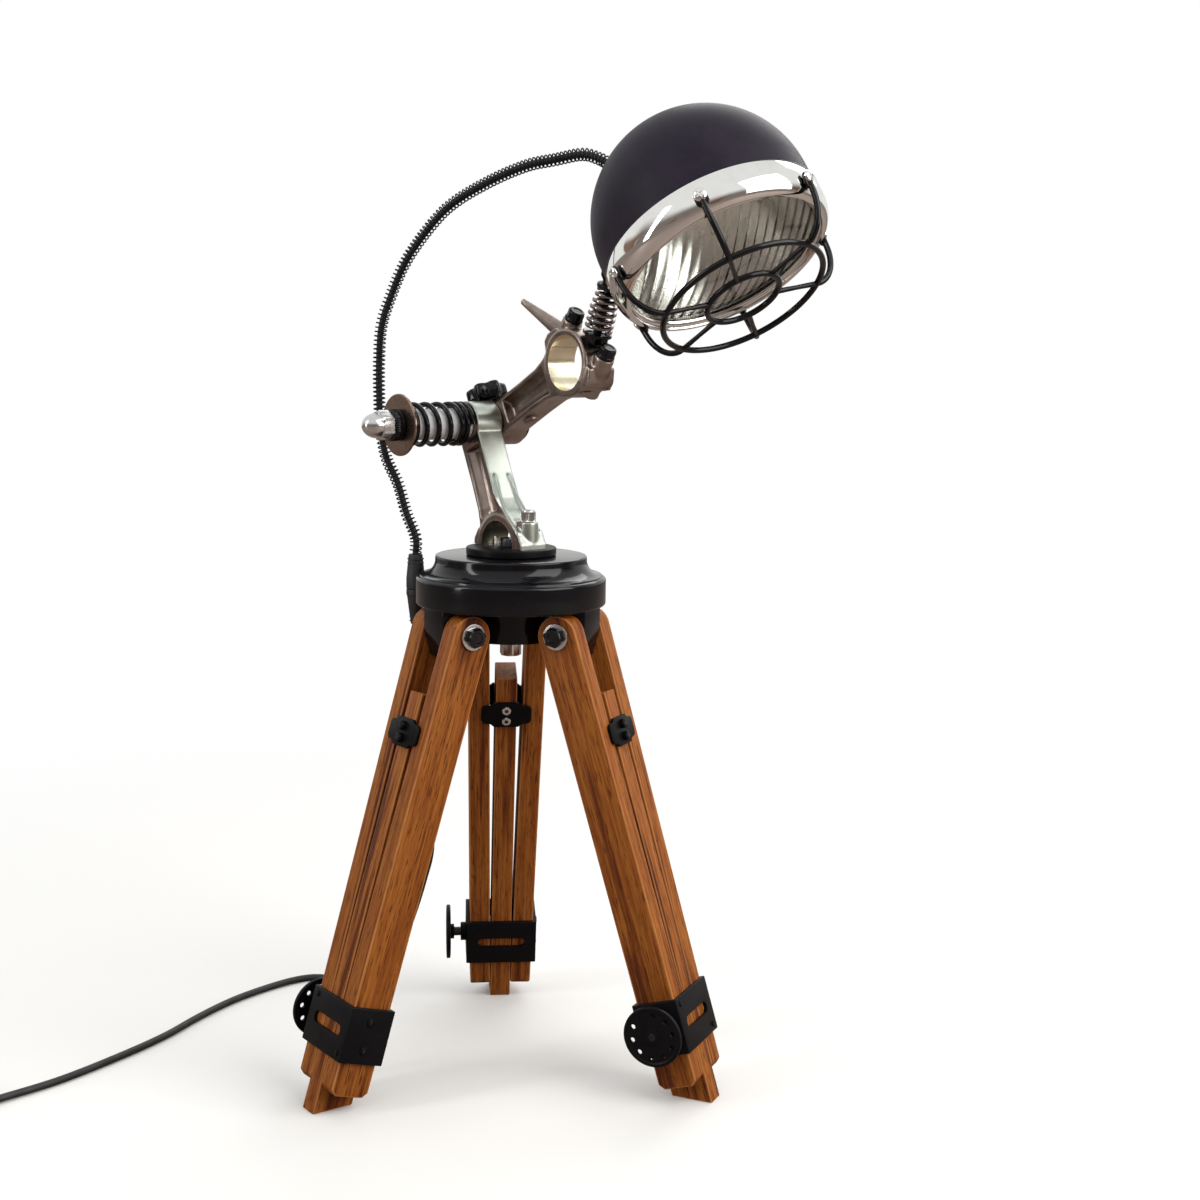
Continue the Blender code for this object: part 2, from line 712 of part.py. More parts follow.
def make_guides(name, slide):
    seat = SLAT_DEPTH / 2 + GAP
    quarter = turn(math.pi / 2, "Z")
    place = at(seat + GUIDE_THICKNESS / 2, 0, -GUIDE_DROP) @ quarter
    plate = plate_mesh(guide_outline(), GUIDE_THICKNESS)
    guides = piece(name + "_guide_plates", plate, slide, satinBlack, place)
    # The plate's own Y points inwards from here on.
    span = 2 * seat + GUIDE_THICKNESS
    join(guides, plate_mesh(guide_outline(), GUIDE_THICKNESS), at(0, span, 0))
    for side in (-1, 1):
        height = side * GUIDE_BOLT_SPACING / 2
        along = turn(-math.pi / 2, "X")
        head = cylinder(GUIDE_HEAD_RADIUS, GUIDE_HEAD_HEIGHT + GUIDE_THICKNESS / 2, 8)
        join(guides, head, at(0, -GUIDE_HEAD_HEIGHT - GUIDE_THICKNESS / 2, height) @ along)
        nut = cylinder(GUIDE_HEAD_RADIUS, GUIDE_NUT_HEIGHT + GUIDE_THICKNESS / 2, 6)
        join(guides, nut, at(0, span, height) @ along)
        shank = cylinder(GUIDE_BOLT_RADIUS, span + GUIDE_THICKNESS / 2, 6)
        join(guides, shank, at(0, -GUIDE_THICKNESS / 4, height) @ along)


def make_hinge_bolt(name, leg):
    side = HEAD_SIDES[name]
    seat = HINGE_SLAT_Y + SLAT_THICKNESS / 2 + 1.5 * GAP
    washer = HINGE_WASHER_THICKNESS
    head_place = at(0, side * seat, 0) @ turn(-side * math.pi / 2, "X")
    bolt = piece(name + "_hinge_bolt", cylinder(HINGE_WASHER_RADIUS, washer, 14), leg, darkSteel, head_place)
    join(bolt, cylinder(HINGE_HEX_RADIUS, HINGE_HEX_HEIGHT, 6), at(0, 0, washer / 2))
    length = 2 * seat + 2 * washer + HINGE_HEX_HEIGHT
    join(bolt, cylinder(HINGE_BOLT_RADIUS, length, 10), at(0, 0, washer / 2 - length))
    nut_place = at(0, -side * seat, 0) @ turn(side * math.pi / 2, "X")
    nut = piece(name + "_hinge_nut", cylinder(HINGE_WASHER_RADIUS, washer, 14), leg, darkSteel, nut_place)
    join(nut, cylinder(HINGE_HEX_RADIUS, HINGE_HEX_HEIGHT, 6), at(0, 0, washer / 2))
    hole = cylinder(HINGE_BOLT_RADIUS + GAP, HINGE_HEX_HEIGHT + washer + 2 * OVERRUN, 10)
    cut(nut, hole, at(0, 0, -OVERRUN))


def make_clamp(name, leg):
    side = KNOB_SIDES[name]
    half_x = SLAT_DEPTH / 2 + GAP
    half_y = CLAMP_HALF_IN
    outer = block(2 * (half_x + CLAMP_WALL), 2 * (half_y + CLAMP_WALL), CLAMP_HEIGHT)
    bracket = piece(name + "_clamp_bracket", outer, leg, satinBlack, at(0, 0, -CLAMP_DROP))
    cut(bracket, block(2 * half_x, 2 * half_y, CLAMP_HEIGHT + 2 * OVERRUN))
    end = CLAMP_SLOT_HEIGHT / 2
    reach = CLAMP_SLOT_LENGTH / 2 - end
    slot = arc(reach, 0, end, -90, 90, 3) + arc(-reach, 0, end, 90, 270, 3)
    depth = 2 * (half_x + CLAMP_WALL + OVERRUN)
    cut(bracket, plate_mesh(slot, depth), turn(math.pi / 2, "Z"))
    face = half_y + CLAMP_WALL
    outwards = turn(-side * math.pi / 2, "X")
    nut = cylinder(CLAMP_NUT_RADIUS, CLAMP_NUT_HEIGHT + CLAMP_WALL / 2, 12)
    join(bracket, nut, at(0, side * (face - CLAMP_WALL / 2), 0) @ outwards)
    bore = cylinder(KNOB_SHAFT_RADIUS + GAP, CLAMP_NUT_HEIGHT + CLAMP_WALL + 2 * OVERRUN, 12)
    cut(bracket, bore, at(0, side * (half_y - OVERRUN), 0) @ outwards)
    for level in (-1, 1):
        rivet = cylinder(CLAMP_RIVET_RADIUS, CLAMP_RIVET_HEIGHT + CLAMP_WALL / 2, 8)
        height = level * CLAMP_RIVET_SPACING / 2
        join(bracket, rivet, at(0, -side * (face - CLAMP_WALL / 2), height) @ turn(side * math.pi / 2, "X"))
    tip = half_y - GAP / 2
    knob_frame = frame(name + "_knob", leg, (0, side * tip, -CLAMP_DROP), outwards)
    wheel_at = CLAMP_WALL + CLAMP_NUT_HEIGHT + KNOB_SHAFT_SHOWING
    wheel = cylinder(KNOB_RADIUS, KNOB_THICKNESS, 24)
    knob = piece(name + "_clamp_knob", wheel, knob_frame, satinBlack, at(0, 0, wheel_at))
    join(knob, cylinder(KNOB_SHAFT_RADIUS, wheel_at + KNOB_THICKNESS / 2, 12), at(0, 0, -wheel_at))
    for i in range(KNOB_HOLES):
        hole = cylinder(KNOB_HOLE_RADIUS, KNOB_THICKNESS + 2 * OVERRUN, 6)
        cut(knob, hole, turn(2 * math.pi * i / KNOB_HOLES, "Z") @ at(KNOB_HOLE_CIRCLE, 0, -OVERRUN))


# Connecting rods. Their X runs from the pin to the big end, and the bores lie along Y.
def split_place(length, split):
    # Z along the parting normal, away from the rod, with the origin at the bore's centre.
    return at(length, 0, 0) @ turn(math.pi / 2 - split, "Y")


def add_bosses(target, place, height):
    # The bosses rise along Z from the parting plane: a tapered shoulder and a round seat.
    half = BOSS_WIDTH / 2
    shoulder = BOSS_SHOULDER_SHARE * height
    outline = [(-half, -OVERRUN), (half, -OVERRUN), (half, BOSS_STRAIGHT_SHARE * height)]
    outline += [(half - BOSS_TAPER, shoulder), (-half, shoulder)]
    for side in (-1, 1):
        middle = side * BOSS_SPACING / 2
        sided = outline if side > 0 else [(-x, z) for x, z in reversed(outline)]
        join(target, plate_mesh(sided, BOSS_DEPTH), place @ at(middle, 0, 0))
        seat = cylinder(BOSS_ROUND_RADIUS, height + OVERRUN, 14)
        join(target, seat, place @ at(middle, 0, -OVERRUN))


def bore_big_end(target, length, split, towards_rod):
    wide = 4 * BIG_RING_RADIUS
    side = 1 if towards_rod else -1
    place = split_place(length, split)
    cut(target, block(wide, wide, wide), place @ at(0, 0, side * (wide - GAP) / 2))
    bore = cylinder(BIG_BORE_RADIUS, BIG_END_WIDTH + 2 * OVERRUN, 28)
    cut(target, bore, at(length, BIG_END_WIDTH / 2 + OVERRUN, 0) @ turn(math.pi / 2, "X"))


def make_rod(name, parent, place, length, split, boss):
    along_y = turn(math.pi / 2, "X")
    small = cylinder(SMALL_END_RADIUS, SMALL_END_WIDTH, 24)
    small.transform(at(0, SMALL_END_WIDTH / 2, 0) @ along_y)
    rod = piece(name, small, parent, aluminium, place)
    top = [(length * along, SHANK_HALF * wide) for along, wide in SHANK_SHARES]
    join(rod, plate_mesh(top + [(x, -z) for x, z in reversed(top)], SHANK_WIDTH))
    ring = cylinder(BIG_RING_RADIUS, BIG_END_WIDTH, 28)
    join(rod, ring, at(length, BIG_END_WIDTH / 2, 0) @ along_y)
    parting = split_place(length, split)
    add_bosses(rod, parting @ turn(math.pi, "Y") @ turn(math.pi, "Z"), boss)
    bore_big_end(rod, length, split, True)
    pin_hole = cylinder(PIN_RADIUS + GAP, SMALL_END_WIDTH + 2 * OVERRUN, 16)
    cut(rod, pin_hole, at(0, SMALL_END_WIDTH / 2 + OVERRUN, 0) @ along_y)
    for side in (-1, 1):
        hole = cylinder(ROD_BOLT_RADIUS + GAP, BASE_BOSS + 2 * OVERRUN, 12)
        cut(rod, hole, parting @ at(side * BOSS_SPACING / 2, 0, -BASE_BOSS - OVERRUN))
    half = SHANK_HALF - SHANK_FLANGE
    start = SMALL_END_RADIUS * POCKET_START_SHARE + half
    end = length * POCKET_END_SHARE - half
    pocket = arc(start, 0, half, 90, 270, 6) + arc(end, 0, half, -90, 90, 6)
    depth = (SHANK_WIDTH - SHANK_WEB) / 2
    for side in (-1, 1):
        middle = side * (SHANK_WIDTH / 2 - depth / 2 + OVERRUN / 2)
        cut(rod, plate_mesh(pocket, depth + OVERRUN), at(0, middle, 0))
    return rod


def make_lower_rod():
    place = at(PIN_REACH, 0, PIN_Z - TURRET_TOP_Z)
    place = place @ turn(math.pi / 2 - LOWER_SPLIT, "Y") @ turn(math.pi, "X")
    make_rod("lower_rod", turntable, place, LOWER_ROD_LENGTH, LOWER_SPLIT, BASE_BOSS)
    base = at(ROD_BASE_OFFSET + BOSS_SPACING / 2, 0, PLATE_THICKNESS + 2.5 * GAP + BASE_BOSS)
    head = cylinder(ROD_BOLT_HEAD_RADIUS, ROD_BOLT_HEAD_HEIGHT, 16)
    bolt = piece("base_bolt", head, turntable, steel, base)
    length = BASE_BOSS + PLATE_THICKNESS / 2 + ROD_BOLT_HEAD_HEIGHT / 2
    join(bolt, cylinder(ROD_BOLT_RADIUS, length, 12), at(0, 0, ROD_BOLT_HEAD_HEIGHT / 2 - length))
    under = at(ROD_BASE_OFFSET - BOSS_SPACING / 2, 0, GAP)
    head = cylinder(ROD_SCREW_HEAD_RADIUS, ROD_SCREW_HEAD_HEIGHT, 12)
    screw = piece("base_screw", head, turntable, steel, under)
    length = PLATE_THICKNESS + BASE_BOSS - 2 * OVERRUN
    join(screw, cylinder(ROD_BOLT_RADIUS, length, 12), at(0, 0, ROD_SCREW_HEAD_HEIGHT / 2))


def make_upper_rod():
    rod_place = at(0, UPPER_ROD_Y, 0)
    rod = make_rod("upper_rod", elbow, rod_place, UPPER_ROD_LENGTH, UPPER_SPLIT, BACK_BOSS)
    stud_hole = cylinder(STAR_STUD_RADIUS + GAP, SMALL_END_RADIUS + OVERRUN, 10)
    cut(rod, stud_hole, at(0, -STAR_SHIFT, 0))
    parting = split_place(UPPER_ROD_LENGTH, UPPER_SPLIT)
    ring = cylinder(BIG_RING_RADIUS, BIG_END_WIDTH, 28)
    ring.transform(at(UPPER_ROD_LENGTH, BIG_END_WIDTH / 2, 0) @ turn(math.pi / 2, "X"))
    cap = piece("upper_rod_cap", ring, elbow, aluminium, rod_place)
    add_bosses(cap, parting, BOSS_CAP)
    bore_big_end(cap, UPPER_ROD_LENGTH, UPPER_SPLIT, False)
    spike = cone(SPIKE_ROOT_RADIUS, SPIKE_TIP_RADIUS, SPIKE_LENGTH, 12)
    lean = turn(-math.pi / 2 - math.radians(SPIKE_DROP), "Y")
    join(cap, spike, parting @ at(-BOSS_SPACING / 2, 0, BOSS_CAP * SPIKE_LEVEL_SHARE) @ lean)
    for side, word in ((-1, "upper"), (1, "lower")):
        hole = cylinder(ROD_BOLT_RADIUS + GAP, BOSS_CAP + 2 * OVERRUN, 12)
        cut(cap, hole, parting @ at(side * BOSS_SPACING / 2, 0, -OVERRUN))
        seat = rod_place @ parting @ at(side * BOSS_SPACING / 2, 0, BOSS_CAP + GAP)
        flange = cylinder(CAP_FLANGE_RADIUS, CAP_FLANGE_HEIGHT, 16)
        bolt = piece(f"cap_bolt_{word}", flange, elbow, black, seat)
        join(bolt, cylinder(CAP_HEX_RADIUS, CAP_HEX_HEIGHT, 6), at(0, 0, CAP_FLANGE_HEIGHT / 2))
        length = BOSS_CAP + BASE_BOSS - OVERRUN
        join(bolt, cylinder(ROD_BOLT_RADIUS, length, 12), at(0, 0, CAP_FLANGE_HEIGHT / 2 - length))


# Everything on the pivot pin. In this frame Z runs from the rods towards the dome nut.
def make_pivot():
    stack = frame("pivot", turntable, (PIN_REACH, 0, PIN_Z - TURRET_TOP_Z), turn(math.pi / 2, "X"))
    washer_at = STACK_START + SPRING_LENGTH + GAP
    lock_at = washer_at + WASHER_THICKNESS + GAP
    dome_at = lock_at + LOCK_NUT_HEIGHT + GAP
    head_at = -(UPPER_ROD_Y + SMALL_END_WIDTH / 2 + GAP)
    pin_end = dome_at + DOME_NUT_HEX_HEIGHT
    profile = [(0, pin_end), (PIN_RADIUS, pin_end), (PIN_RADIUS, head_at), (PIN_HEAD_RADIUS, head_at)]
    for share in (1, 2, 3):
        angle = share * math.pi / 8
        profile.append((PIN_HEAD_RADIUS * math.cos(angle), head_at - PIN_HEAD_HEIGHT * math.sin(angle)))
    profile.append((0, head_at - PIN_HEAD_HEIGHT))
    turned("pivot_bolt", profile, False, stack, black, steps=18)
    closed = SPRING_CLOSED_TURNS
    turns = SPRING_OPEN_TURNS + 3 * closed
    wire = 2 * SPRING_WIRE_RADIUS
    first = SPRING_WIRE_RADIUS + GAP
    pitch = wire + 2.5 * GAP
    heights = (
        [0, 2 * closed / turns, 1 - closed / turns, 1],
        [first, first + 2 * closed * pitch, SPRING_LENGTH - first - closed * pitch, SPRING_LENGTH - first],
    )
    coil = helix([SPRING_RADIUS], heights, turns)
    coil[:, 2] += STACK_START
    tube("pivot_spring", coil, SPRING_WIRE_RADIUS, 1, stack, black)
    print_least_gap("pivot_spring", coil, SPRING_WIRE_RADIUS, 10)
    bore = PIN_RADIUS + GAP
    sleeve = [(SLEEVE_RADIUS, STACK_START + SPRING_LENGTH), (SLEEVE_RADIUS, STACK_START)]
    sleeve += [(bore, STACK_START), (bore, STACK_START + SPRING_LENGTH)]
    turned("spring_sleeve", sleeve, True, stack, whitePlastic, steps=24)
    washer = [(WASHER_RADIUS, washer_at + WASHER_THICKNESS), (WASHER_RADIUS, washer_at)]
    washer += [(bore, washer_at), (bore, washer_at + WASHER_THICKNESS)]
    turned("pivot_washer", washer, True, stack, steel, steps=36)
    lock = piece("lock_nut", cylinder(LOCK_NUT_RADIUS, LOCK_NUT_HEIGHT, 20), stack, black, at(0, 0, lock_at))
    cut(lock, cylinder(bore, LOCK_NUT_HEIGHT + 2 * OVERRUN, 16), at(0, 0, -OVERRUN))
    make_dome_nut(stack, dome_at)


def make_dome_nut(stack, dome_at):
    hexagon = cylinder(DOME_NUT_RADIUS, DOME_NUT_HEX_HEIGHT, 6)
    nut = piece("dome_nut", hexagon, stack, steel, at(0, 0, dome_at))
    profile = [(0, DOME_NUT_HEX_HEIGHT + DOME_HEIGHT)]
    for share in (1, 2, 3):
        angle = math.pi / 2 - share * math.pi / 8
        profile.append((DOME_RADIUS * math.cos(angle), DOME_NUT_HEX_HEIGHT + DOME_HEIGHT * math.sin(angle)))
    profile += [(DOME_RADIUS, DOME_NUT_HEX_HEIGHT / 2), (0, DOME_NUT_HEX_HEIGHT / 2)]
    join(nut, profile_mesh(profile, False), steps=20)
    cut(nut, cylinder(PIN_RADIUS + GAP, DOME_NUT_HEX_HEIGHT + OVERRUN + GAP, 16), at(0, 0, -OVERRUN))


def make_star_knob():
    # The stud presses on the pin through the upper rod's small end.
    knob_frame = frame("star", elbow, (0, UPPER_ROD_Y - STAR_SHIFT, 0))
    outline = []
    steps = STAR_LOBES * 5
    for i in range(steps):
        angle = 2 * math.pi * i / steps
        radius = STAR_RADIUS - STAR_LOBE_DEPTH * (1 - math.cos(STAR_LOBES * angle))
        outline.append((radius * math.cos(angle), radius * math.sin(angle)))
    base = SMALL_END_RADIUS + GAP + STAR_NECK_HEIGHT
    mesh = plate_mesh(outline, STAR_HEIGHT)
    mesh.transform(turn(math.pi / 2, "X"))
    knob = piece("star_knob", mesh, knob_frame, black, at(0, 0, base + STAR_HEIGHT / 2))
    ease(knob, OVERRUN / 2)
    neck = cylinder(STAR_NECK_RADIUS, STAR_NECK_HEIGHT + STAR_HEIGHT / 2, 12)
    join(knob, neck, at(0, 0, -STAR_HEIGHT / 2 - STAR_NECK_HEIGHT))
    length = base - PIN_RADIUS - 2 * GAP
    stud = cylinder(STAR_STUD_RADIUS, length + STAR_HEIGHT / 2, 10)
    join(knob, stud, at(0, 0, -STAR_HEIGHT / 2 - length))


# Spring mount. In its frame Z runs up the stud, from the seat of the spring.
def mount_place():
    seat = split_place(UPPER_ROD_LENGTH, UPPER_SPLIT) @ at(SEAT_SHIFT, 0, SEAT_HEIGHT)
    return at(0, UPPER_ROD_Y, 0) @ seat @ turn(-math.radians(STUD_LEAN), "Y")


def make_mount():
    mount = frame("mount", elbow)
    mount.matrix_local = mount_place()
    block_height = SEAT_HEIGHT - BIG_RING_RADIUS * SEAT_DEPTH_SHARE
    base = block(SEAT_BLOCK, SEAT_BLOCK, block_height)
    stud = piece("mount_stud", base, mount, black, at(0, 0, -block_height / 2))
    join(stud, cylinder(SEAT_RADIUS, OVERRUN / 2, 20), at(0, 0, block_height / 2 - GAP))
    length = HEAD_SPRING_LENGTH + EAR_THICKNESS + WING_BARREL_HEIGHT + OVERRUN
    join(stud, cylinder(STUD_RADIUS, length, 10), at(0, 0, block_height / 2 - GAP))
    saddle = cylinder(BIG_RING_RADIUS + GAP, SEAT_BLOCK + 2 * OVERRUN, 28)
    to_ring = (UPPER_ROD_LENGTH, UPPER_ROD_Y, 0)
    local = at(0, 0, block_height / 2) @ mount_place().inverted() @ Matrix.Translation(to_ring)
    cut(stud, saddle, local @ at(0, SEAT_BLOCK / 2 + OVERRUN, 0) @ turn(math.pi / 2, "X"))
    flange = OVERRUN / 2
    first = flange + HEAD_SPRING_WIRE + GAP
    last = HEAD_SPRING_LENGTH - HEAD_SPRING_WIRE - GAP
    coil = helix([HEAD_SPRING_WIDE, HEAD_SPRING_NARROW], ([0, 1], [first, last]), HEAD_SPRING_TURNS, 8)
    tube("head_spring", coil, HEAD_SPRING_WIRE, 1, mount, darkChrome)
    print_least_gap("head_spring", coil, HEAD_SPRING_WIRE, 8)
    return mount


def make_wing_nut(head):
    level = EAR_THICKNESS / 2 + GAP
    place = stud_in_head @ at(0, 0, level)
    nut = piece("wing_nut", cylinder(WING_BARREL_RADIUS, WING_BARREL_HEIGHT, 14), head, black, place)
    outline = [(0, OVERRUN), (WING_SPAN, WING_HEIGHT * WING_LOW_SHARE), (WING_SPAN, WING_HEIGHT)]
    outline += [(WING_SPAN * WING_TIP_SHARE, WING_HEIGHT), (0, WING_BARREL_HEIGHT * WING_ROOT_SHARE)]
    mirrored = [(-x, z) for x, z in reversed(outline[1:-1])]
    wings = plate_mesh(outline + mirrored, WING_THICKNESS)
    join(nut, wings, turn(math.pi / 2, "Z"))
    cut(nut, cylinder(STUD_RADIUS + GAP, WING_HEIGHT + 2 * OVERRUN, 12), at(0, 0, -OVERRUN))


# Lamp. In its frame Z runs forwards along the lamp's axis from the rim of the shell.
def dome_profile(radius, depth, steps):
    straight = depth - radius
    points = []
    for i in range(steps + 1):
        angle = math.pi / 2 * i / steps
        points.append((radius * math.cos(angle), -straight - radius * math.sin(angle)))
    points[-1] = (0, -depth)
    return points


def make_shell(lamp):
    profile = [(0, 0), (SHELL_RADIUS, 0)] + dome_profile(SHELL_RADIUS, SHELL_DEPTH, 7)
    shell = turned("lamp_shell", profile, False, lamp, satinBlack, steps=32)
    ear_place = lamp.matrix_local.inverted() @ stud_in_head
    # The ear is a strap from the stud to the shell's side.
    towards = ear_place.inverted() @ Vector((0, 0, SHELL_RADIUS - SHELL_DEPTH))
    bearing = math.atan2(towards.y, towards.x)
    level_radius = math.sqrt(SHELL_RADIUS ** 2 - towards.z ** 2)
    length = math.hypot(towards.x, towards.y) - EAR_BITE_SHARE * level_radius
    strap = block(length, 2 * EAR_RADIUS * EAR_NECK_SHARE, EAR_THICKNESS)
    strap.transform(turn(bearing, "Z") @ at(length / 2, 0, 0))
    join(shell, strap, ear_place)
    join(shell, cylinder(EAR_RADIUS, EAR_THICKNESS, 20), ear_place @ at(0, 0, -EAR_THICKNESS / 2))
    hole = cylinder(STUD_RADIUS + GAP, EAR_THICKNESS + 2 * OVERRUN, 12)
    cut(shell, hole, ear_place @ at(0, 0, -EAR_THICKNESS / 2 - OVERRUN))
    cut(shell, cylinder(2 * SHELL_RADIUS, SHELL_RADIUS))
    inner_radius = SHELL_RADIUS - SHELL_WALL
    hollow = [(0, OVERRUN), (inner_radius, OVERRUN)]
    hollow += dome_profile(inner_radius, SHELL_DEPTH - SHELL_WALL, 7)
    cut(shell, profile_mesh(hollow, False), steps=32)
    gland_hole = cylinder(GLAND_NECK_RADIUS + GAP, 4 * SHELL_WALL, 10)
    cut(shell, gland_hole, gland_place() @ at(0, 0, -3 * SHELL_WALL))


def ring_surface(radius, mouth, forward, steps):
    points = []
    for i in range(steps + 1):
        angle = math.pi / 2 * i / steps
        points.append((
            mouth + (radius - mouth) * math.sin(angle),
            RING_STRAIGHT + (forward - RING_STRAIGHT) * math.cos(angle),
        ))
    return points


def make_front(lamp):
    outer = SHELL_RADIUS + RING_OVERHANG
    profile = ring_surface(outer, RING_MOUTH_RADIUS, RING_FORWARD, 4)
    profile += [(outer, GAP), (outer - RING_WALL, GAP)]
    inner = ring_surface(outer - RING_WALL, RING_MOUTH_RADIUS - GAP, RING_FORWARD - RING_WALL, 3)
    profile += reversed(inner)
    turned("trim_ring", profile, True, lamp, chrome, steps=36)
    lens_radius = outer - RING_WALL - 4 * GAP
    front = []
    back = []
    for i in range(5):
        share = i / 4
        crown = LENS_CROWN * (1 - share ** 2)
        front.append((lens_radius * share, LENS_RIM + crown))
        back.append((lens_radius * share, LENS_RIM + crown - LENS_THICKNESS))
    lens_back = LENS_RIM - LENS_THICKNESS
    turned("lens", front + back[::-1], False, lamp, glass, steps=32)
    hole = HOLDER_RADIUS + GAP
    bowl = []
    for i in range(5):
        share = i / 4
        radius = hole + (lens_radius - REFLECTOR_WALL - hole) * share
        drop = REFLECTOR_DEPTH * (1 - share ** 2)
        bowl.append((radius, lens_back - GAP - drop))
    sideways = REFLECTOR_WALL * REFLECTOR_SIDE_SHARE
    bowl_back = [(radius + sideways, height - REFLECTOR_WALL) for radius, height in bowl]
    bowl_back[0] = (hole, bowl[0][1] - REFLECTOR_WALL)
    turned("reflector", bowl_back[::-1] + bowl, True, lamp, mirror, steps=28)
    neck = bowl[0][1]
    holder = [(0, neck + GAP), (HOLDER_RADIUS, neck + GAP), (HOLDER_RADIUS, neck - HOLDER_LENGTH)]
    holder.append((0, neck - HOLDER_LENGTH))
    turned("bulb_holder", holder, False, lamp, black, steps=20)
    base = neck + 2 * GAP
    bulb = [(0, base + BULB_LENGTH)]
    for angle in (60, 30, 0, -30):
        angle = math.radians(angle)
        bulb.append((
            BULB_RADIUS * math.cos(angle), base + BULB_LENGTH - BULB_RADIUS * (1 - math.sin(angle)),
        ))
    bulb += [(BULB_BASE_RADIUS, base + BULB_LENGTH / 3), (BULB_BASE_RADIUS, base), (0, base)]
    turned("bulb", bulb, False, lamp, glass, steps=20)


def ring_section(radius, wire, sides, level):
    points = []
    for i in range(sides):
        angle = 2 * math.pi * i / sides
        points.append((radius + wire * math.sin(angle), level + wire * math.cos(angle)))
    return points


def make_grille(lamp):
    level = GRILLE_FORWARD
    section = ring_section(GRILLE_RADIUS, GRILLE_WIRE, 6, level)
    grille = turned("grille", section, True, lamp, black, steps=30)
    join(grille, profile_mesh(ring_section(GRILLE_INNER_RADIUS, GRILLE_WIRE, 6, level), True), steps=18)
    tab_radius = SHELL_RADIUS + RING_OVERHANG + GAP + TAB_THICKNESS / 2
    rise = level - TAB_FORWARD
    arm_end = tab_radius + GRILLE_SPOKE / 2
    arm = [(GRILLE_RADIUS, 0, level)]
    for degrees in (74, 50, 26, 6):
        angle = math.radians(degrees)
        arm.append((
            GRILLE_RADIUS + (arm_end - GRILLE_RADIUS) * math.cos(angle),
            0,
            TAB_FORWARD + rise * math.sin(angle),
        ))
    arm.append((arm_end, 0, TAB_FORWARD + OVERRUN))
    for i in range(6):
        place = turn(math.radians(GRILLE_PHASE + 180 + 60 * i), "Z")
        spoke = cylinder(GRILLE_SPOKE, GRILLE_RADIUS - GRILLE_INNER_RADIUS, 6)
        join(grille, spoke, place @ at(GRILLE_INNER_RADIUS, 0, level) @ turn(math.pi / 2, "Y"))
        join(grille, tube_mesh(arm, GRILLE_SPOKE, 1), place)
        tab = block(TAB_THICKNESS, TAB_WIDTH, TAB_LENGTH)
        join(grille, tab, place @ at(tab_radius, 0, TAB_FORWARD))
        screw = cylinder(TAB_SCREW_RADIUS, TAB_SCREW_HEIGHT + TAB_THICKNESS / 2, 8)
        join(grille, screw, place @ at(tab_radius, 0, TAB_FORWARD - OVERRUN) @ turn(math.pi / 2, "Y"))


def gland_place():
    # Z points out of the shell, from its outer face.
    outwards = lamp.matrix_world.to_3x3().inverted() @ Vector(GLAND_DIRECTION_SHARES)
    rotation = outwards.normalized().to_track_quat("Z", "X").to_matrix().to_4x4()
    return at(0, 0, SHELL_RADIUS - SHELL_DEPTH) @ rotation @ at(0, 0, SHELL_RADIUS)


def make_lead(lamp):
    gland_at = gland_place()
    mouth_radius = LEAD_RADIUS + 2 * GUARD_WIRE_RADIUS + GUARD_COIL_RADIUS / 2
    shape = cone(GLAND_RADIUS, mouth_radius, GLAND_LENGTH, 16)
    gland = piece("lead_gland", shape, lamp, black, gland_at @ at(0, 0, 2 * GAP))
    join(gland, cylinder(GLAND_NECK_RADIUS, 3 * SHELL_WALL, 10), at(0, 0, GAP - 2 * SHELL_WALL - 2 * GAP))
    to_root = root.matrix_world.inverted() @ lamp.matrix_world @ gland_at
    mouth = to_root @ Vector((0, 0, GLAND_LENGTH + 3 * GAP))
    ahead = to_root @ Vector((0, 0, GLAND_LENGTH + 3 * GAP + 2 * GUARD_COIL_RADIUS))
    angle = math.radians(COUPLER_ANGLE)
    coupler = (COUPLER_REACH * math.cos(angle), COUPLER_REACH * math.sin(angle))
    top = COUPLER_TOP_Z + GAP
    end = [Vector((*coupler, top + 3 * GUARD_COIL_RADIUS)), Vector((*coupler, top))]
    route = [mouth, ahead] + list(LEAD_ROUTE) + end
    path, length = smooth_path(route, 36)
    tube("lead", path, LEAD_RADIUS, 2, root, black)
    fine, _ = smooth_path(route, 6 * GUARD_TURNS)
    inset = 2 * GUARD_WIRE_RADIUS
    fine[0] = fine[0].lerp(fine[1], inset / (fine[1] - fine[0]).length)
    fine[-1] = fine[-1].lerp(fine[-2], inset / (fine[-1] - fine[-2]).length)
    wire = wound_round(fine, GUARD_COIL_RADIUS, GUARD_TURNS, 8)
    first = (fine[0] - fine[1]).normalized() * inset
    last = (fine[-1] - fine[-2]).normalized() * inset
    wire = [wire[0] + first] + wire + [wire[-1] + last]
    tube("guard_coil", wire, GUARD_WIRE_RADIUS, 1, root, black)
    print_least_gap("guard_coil", wire, GUARD_WIRE_RADIUS, 8)
    print(f"lead: {length * 1000:.0f} mm")
    make_coupler(coupler)


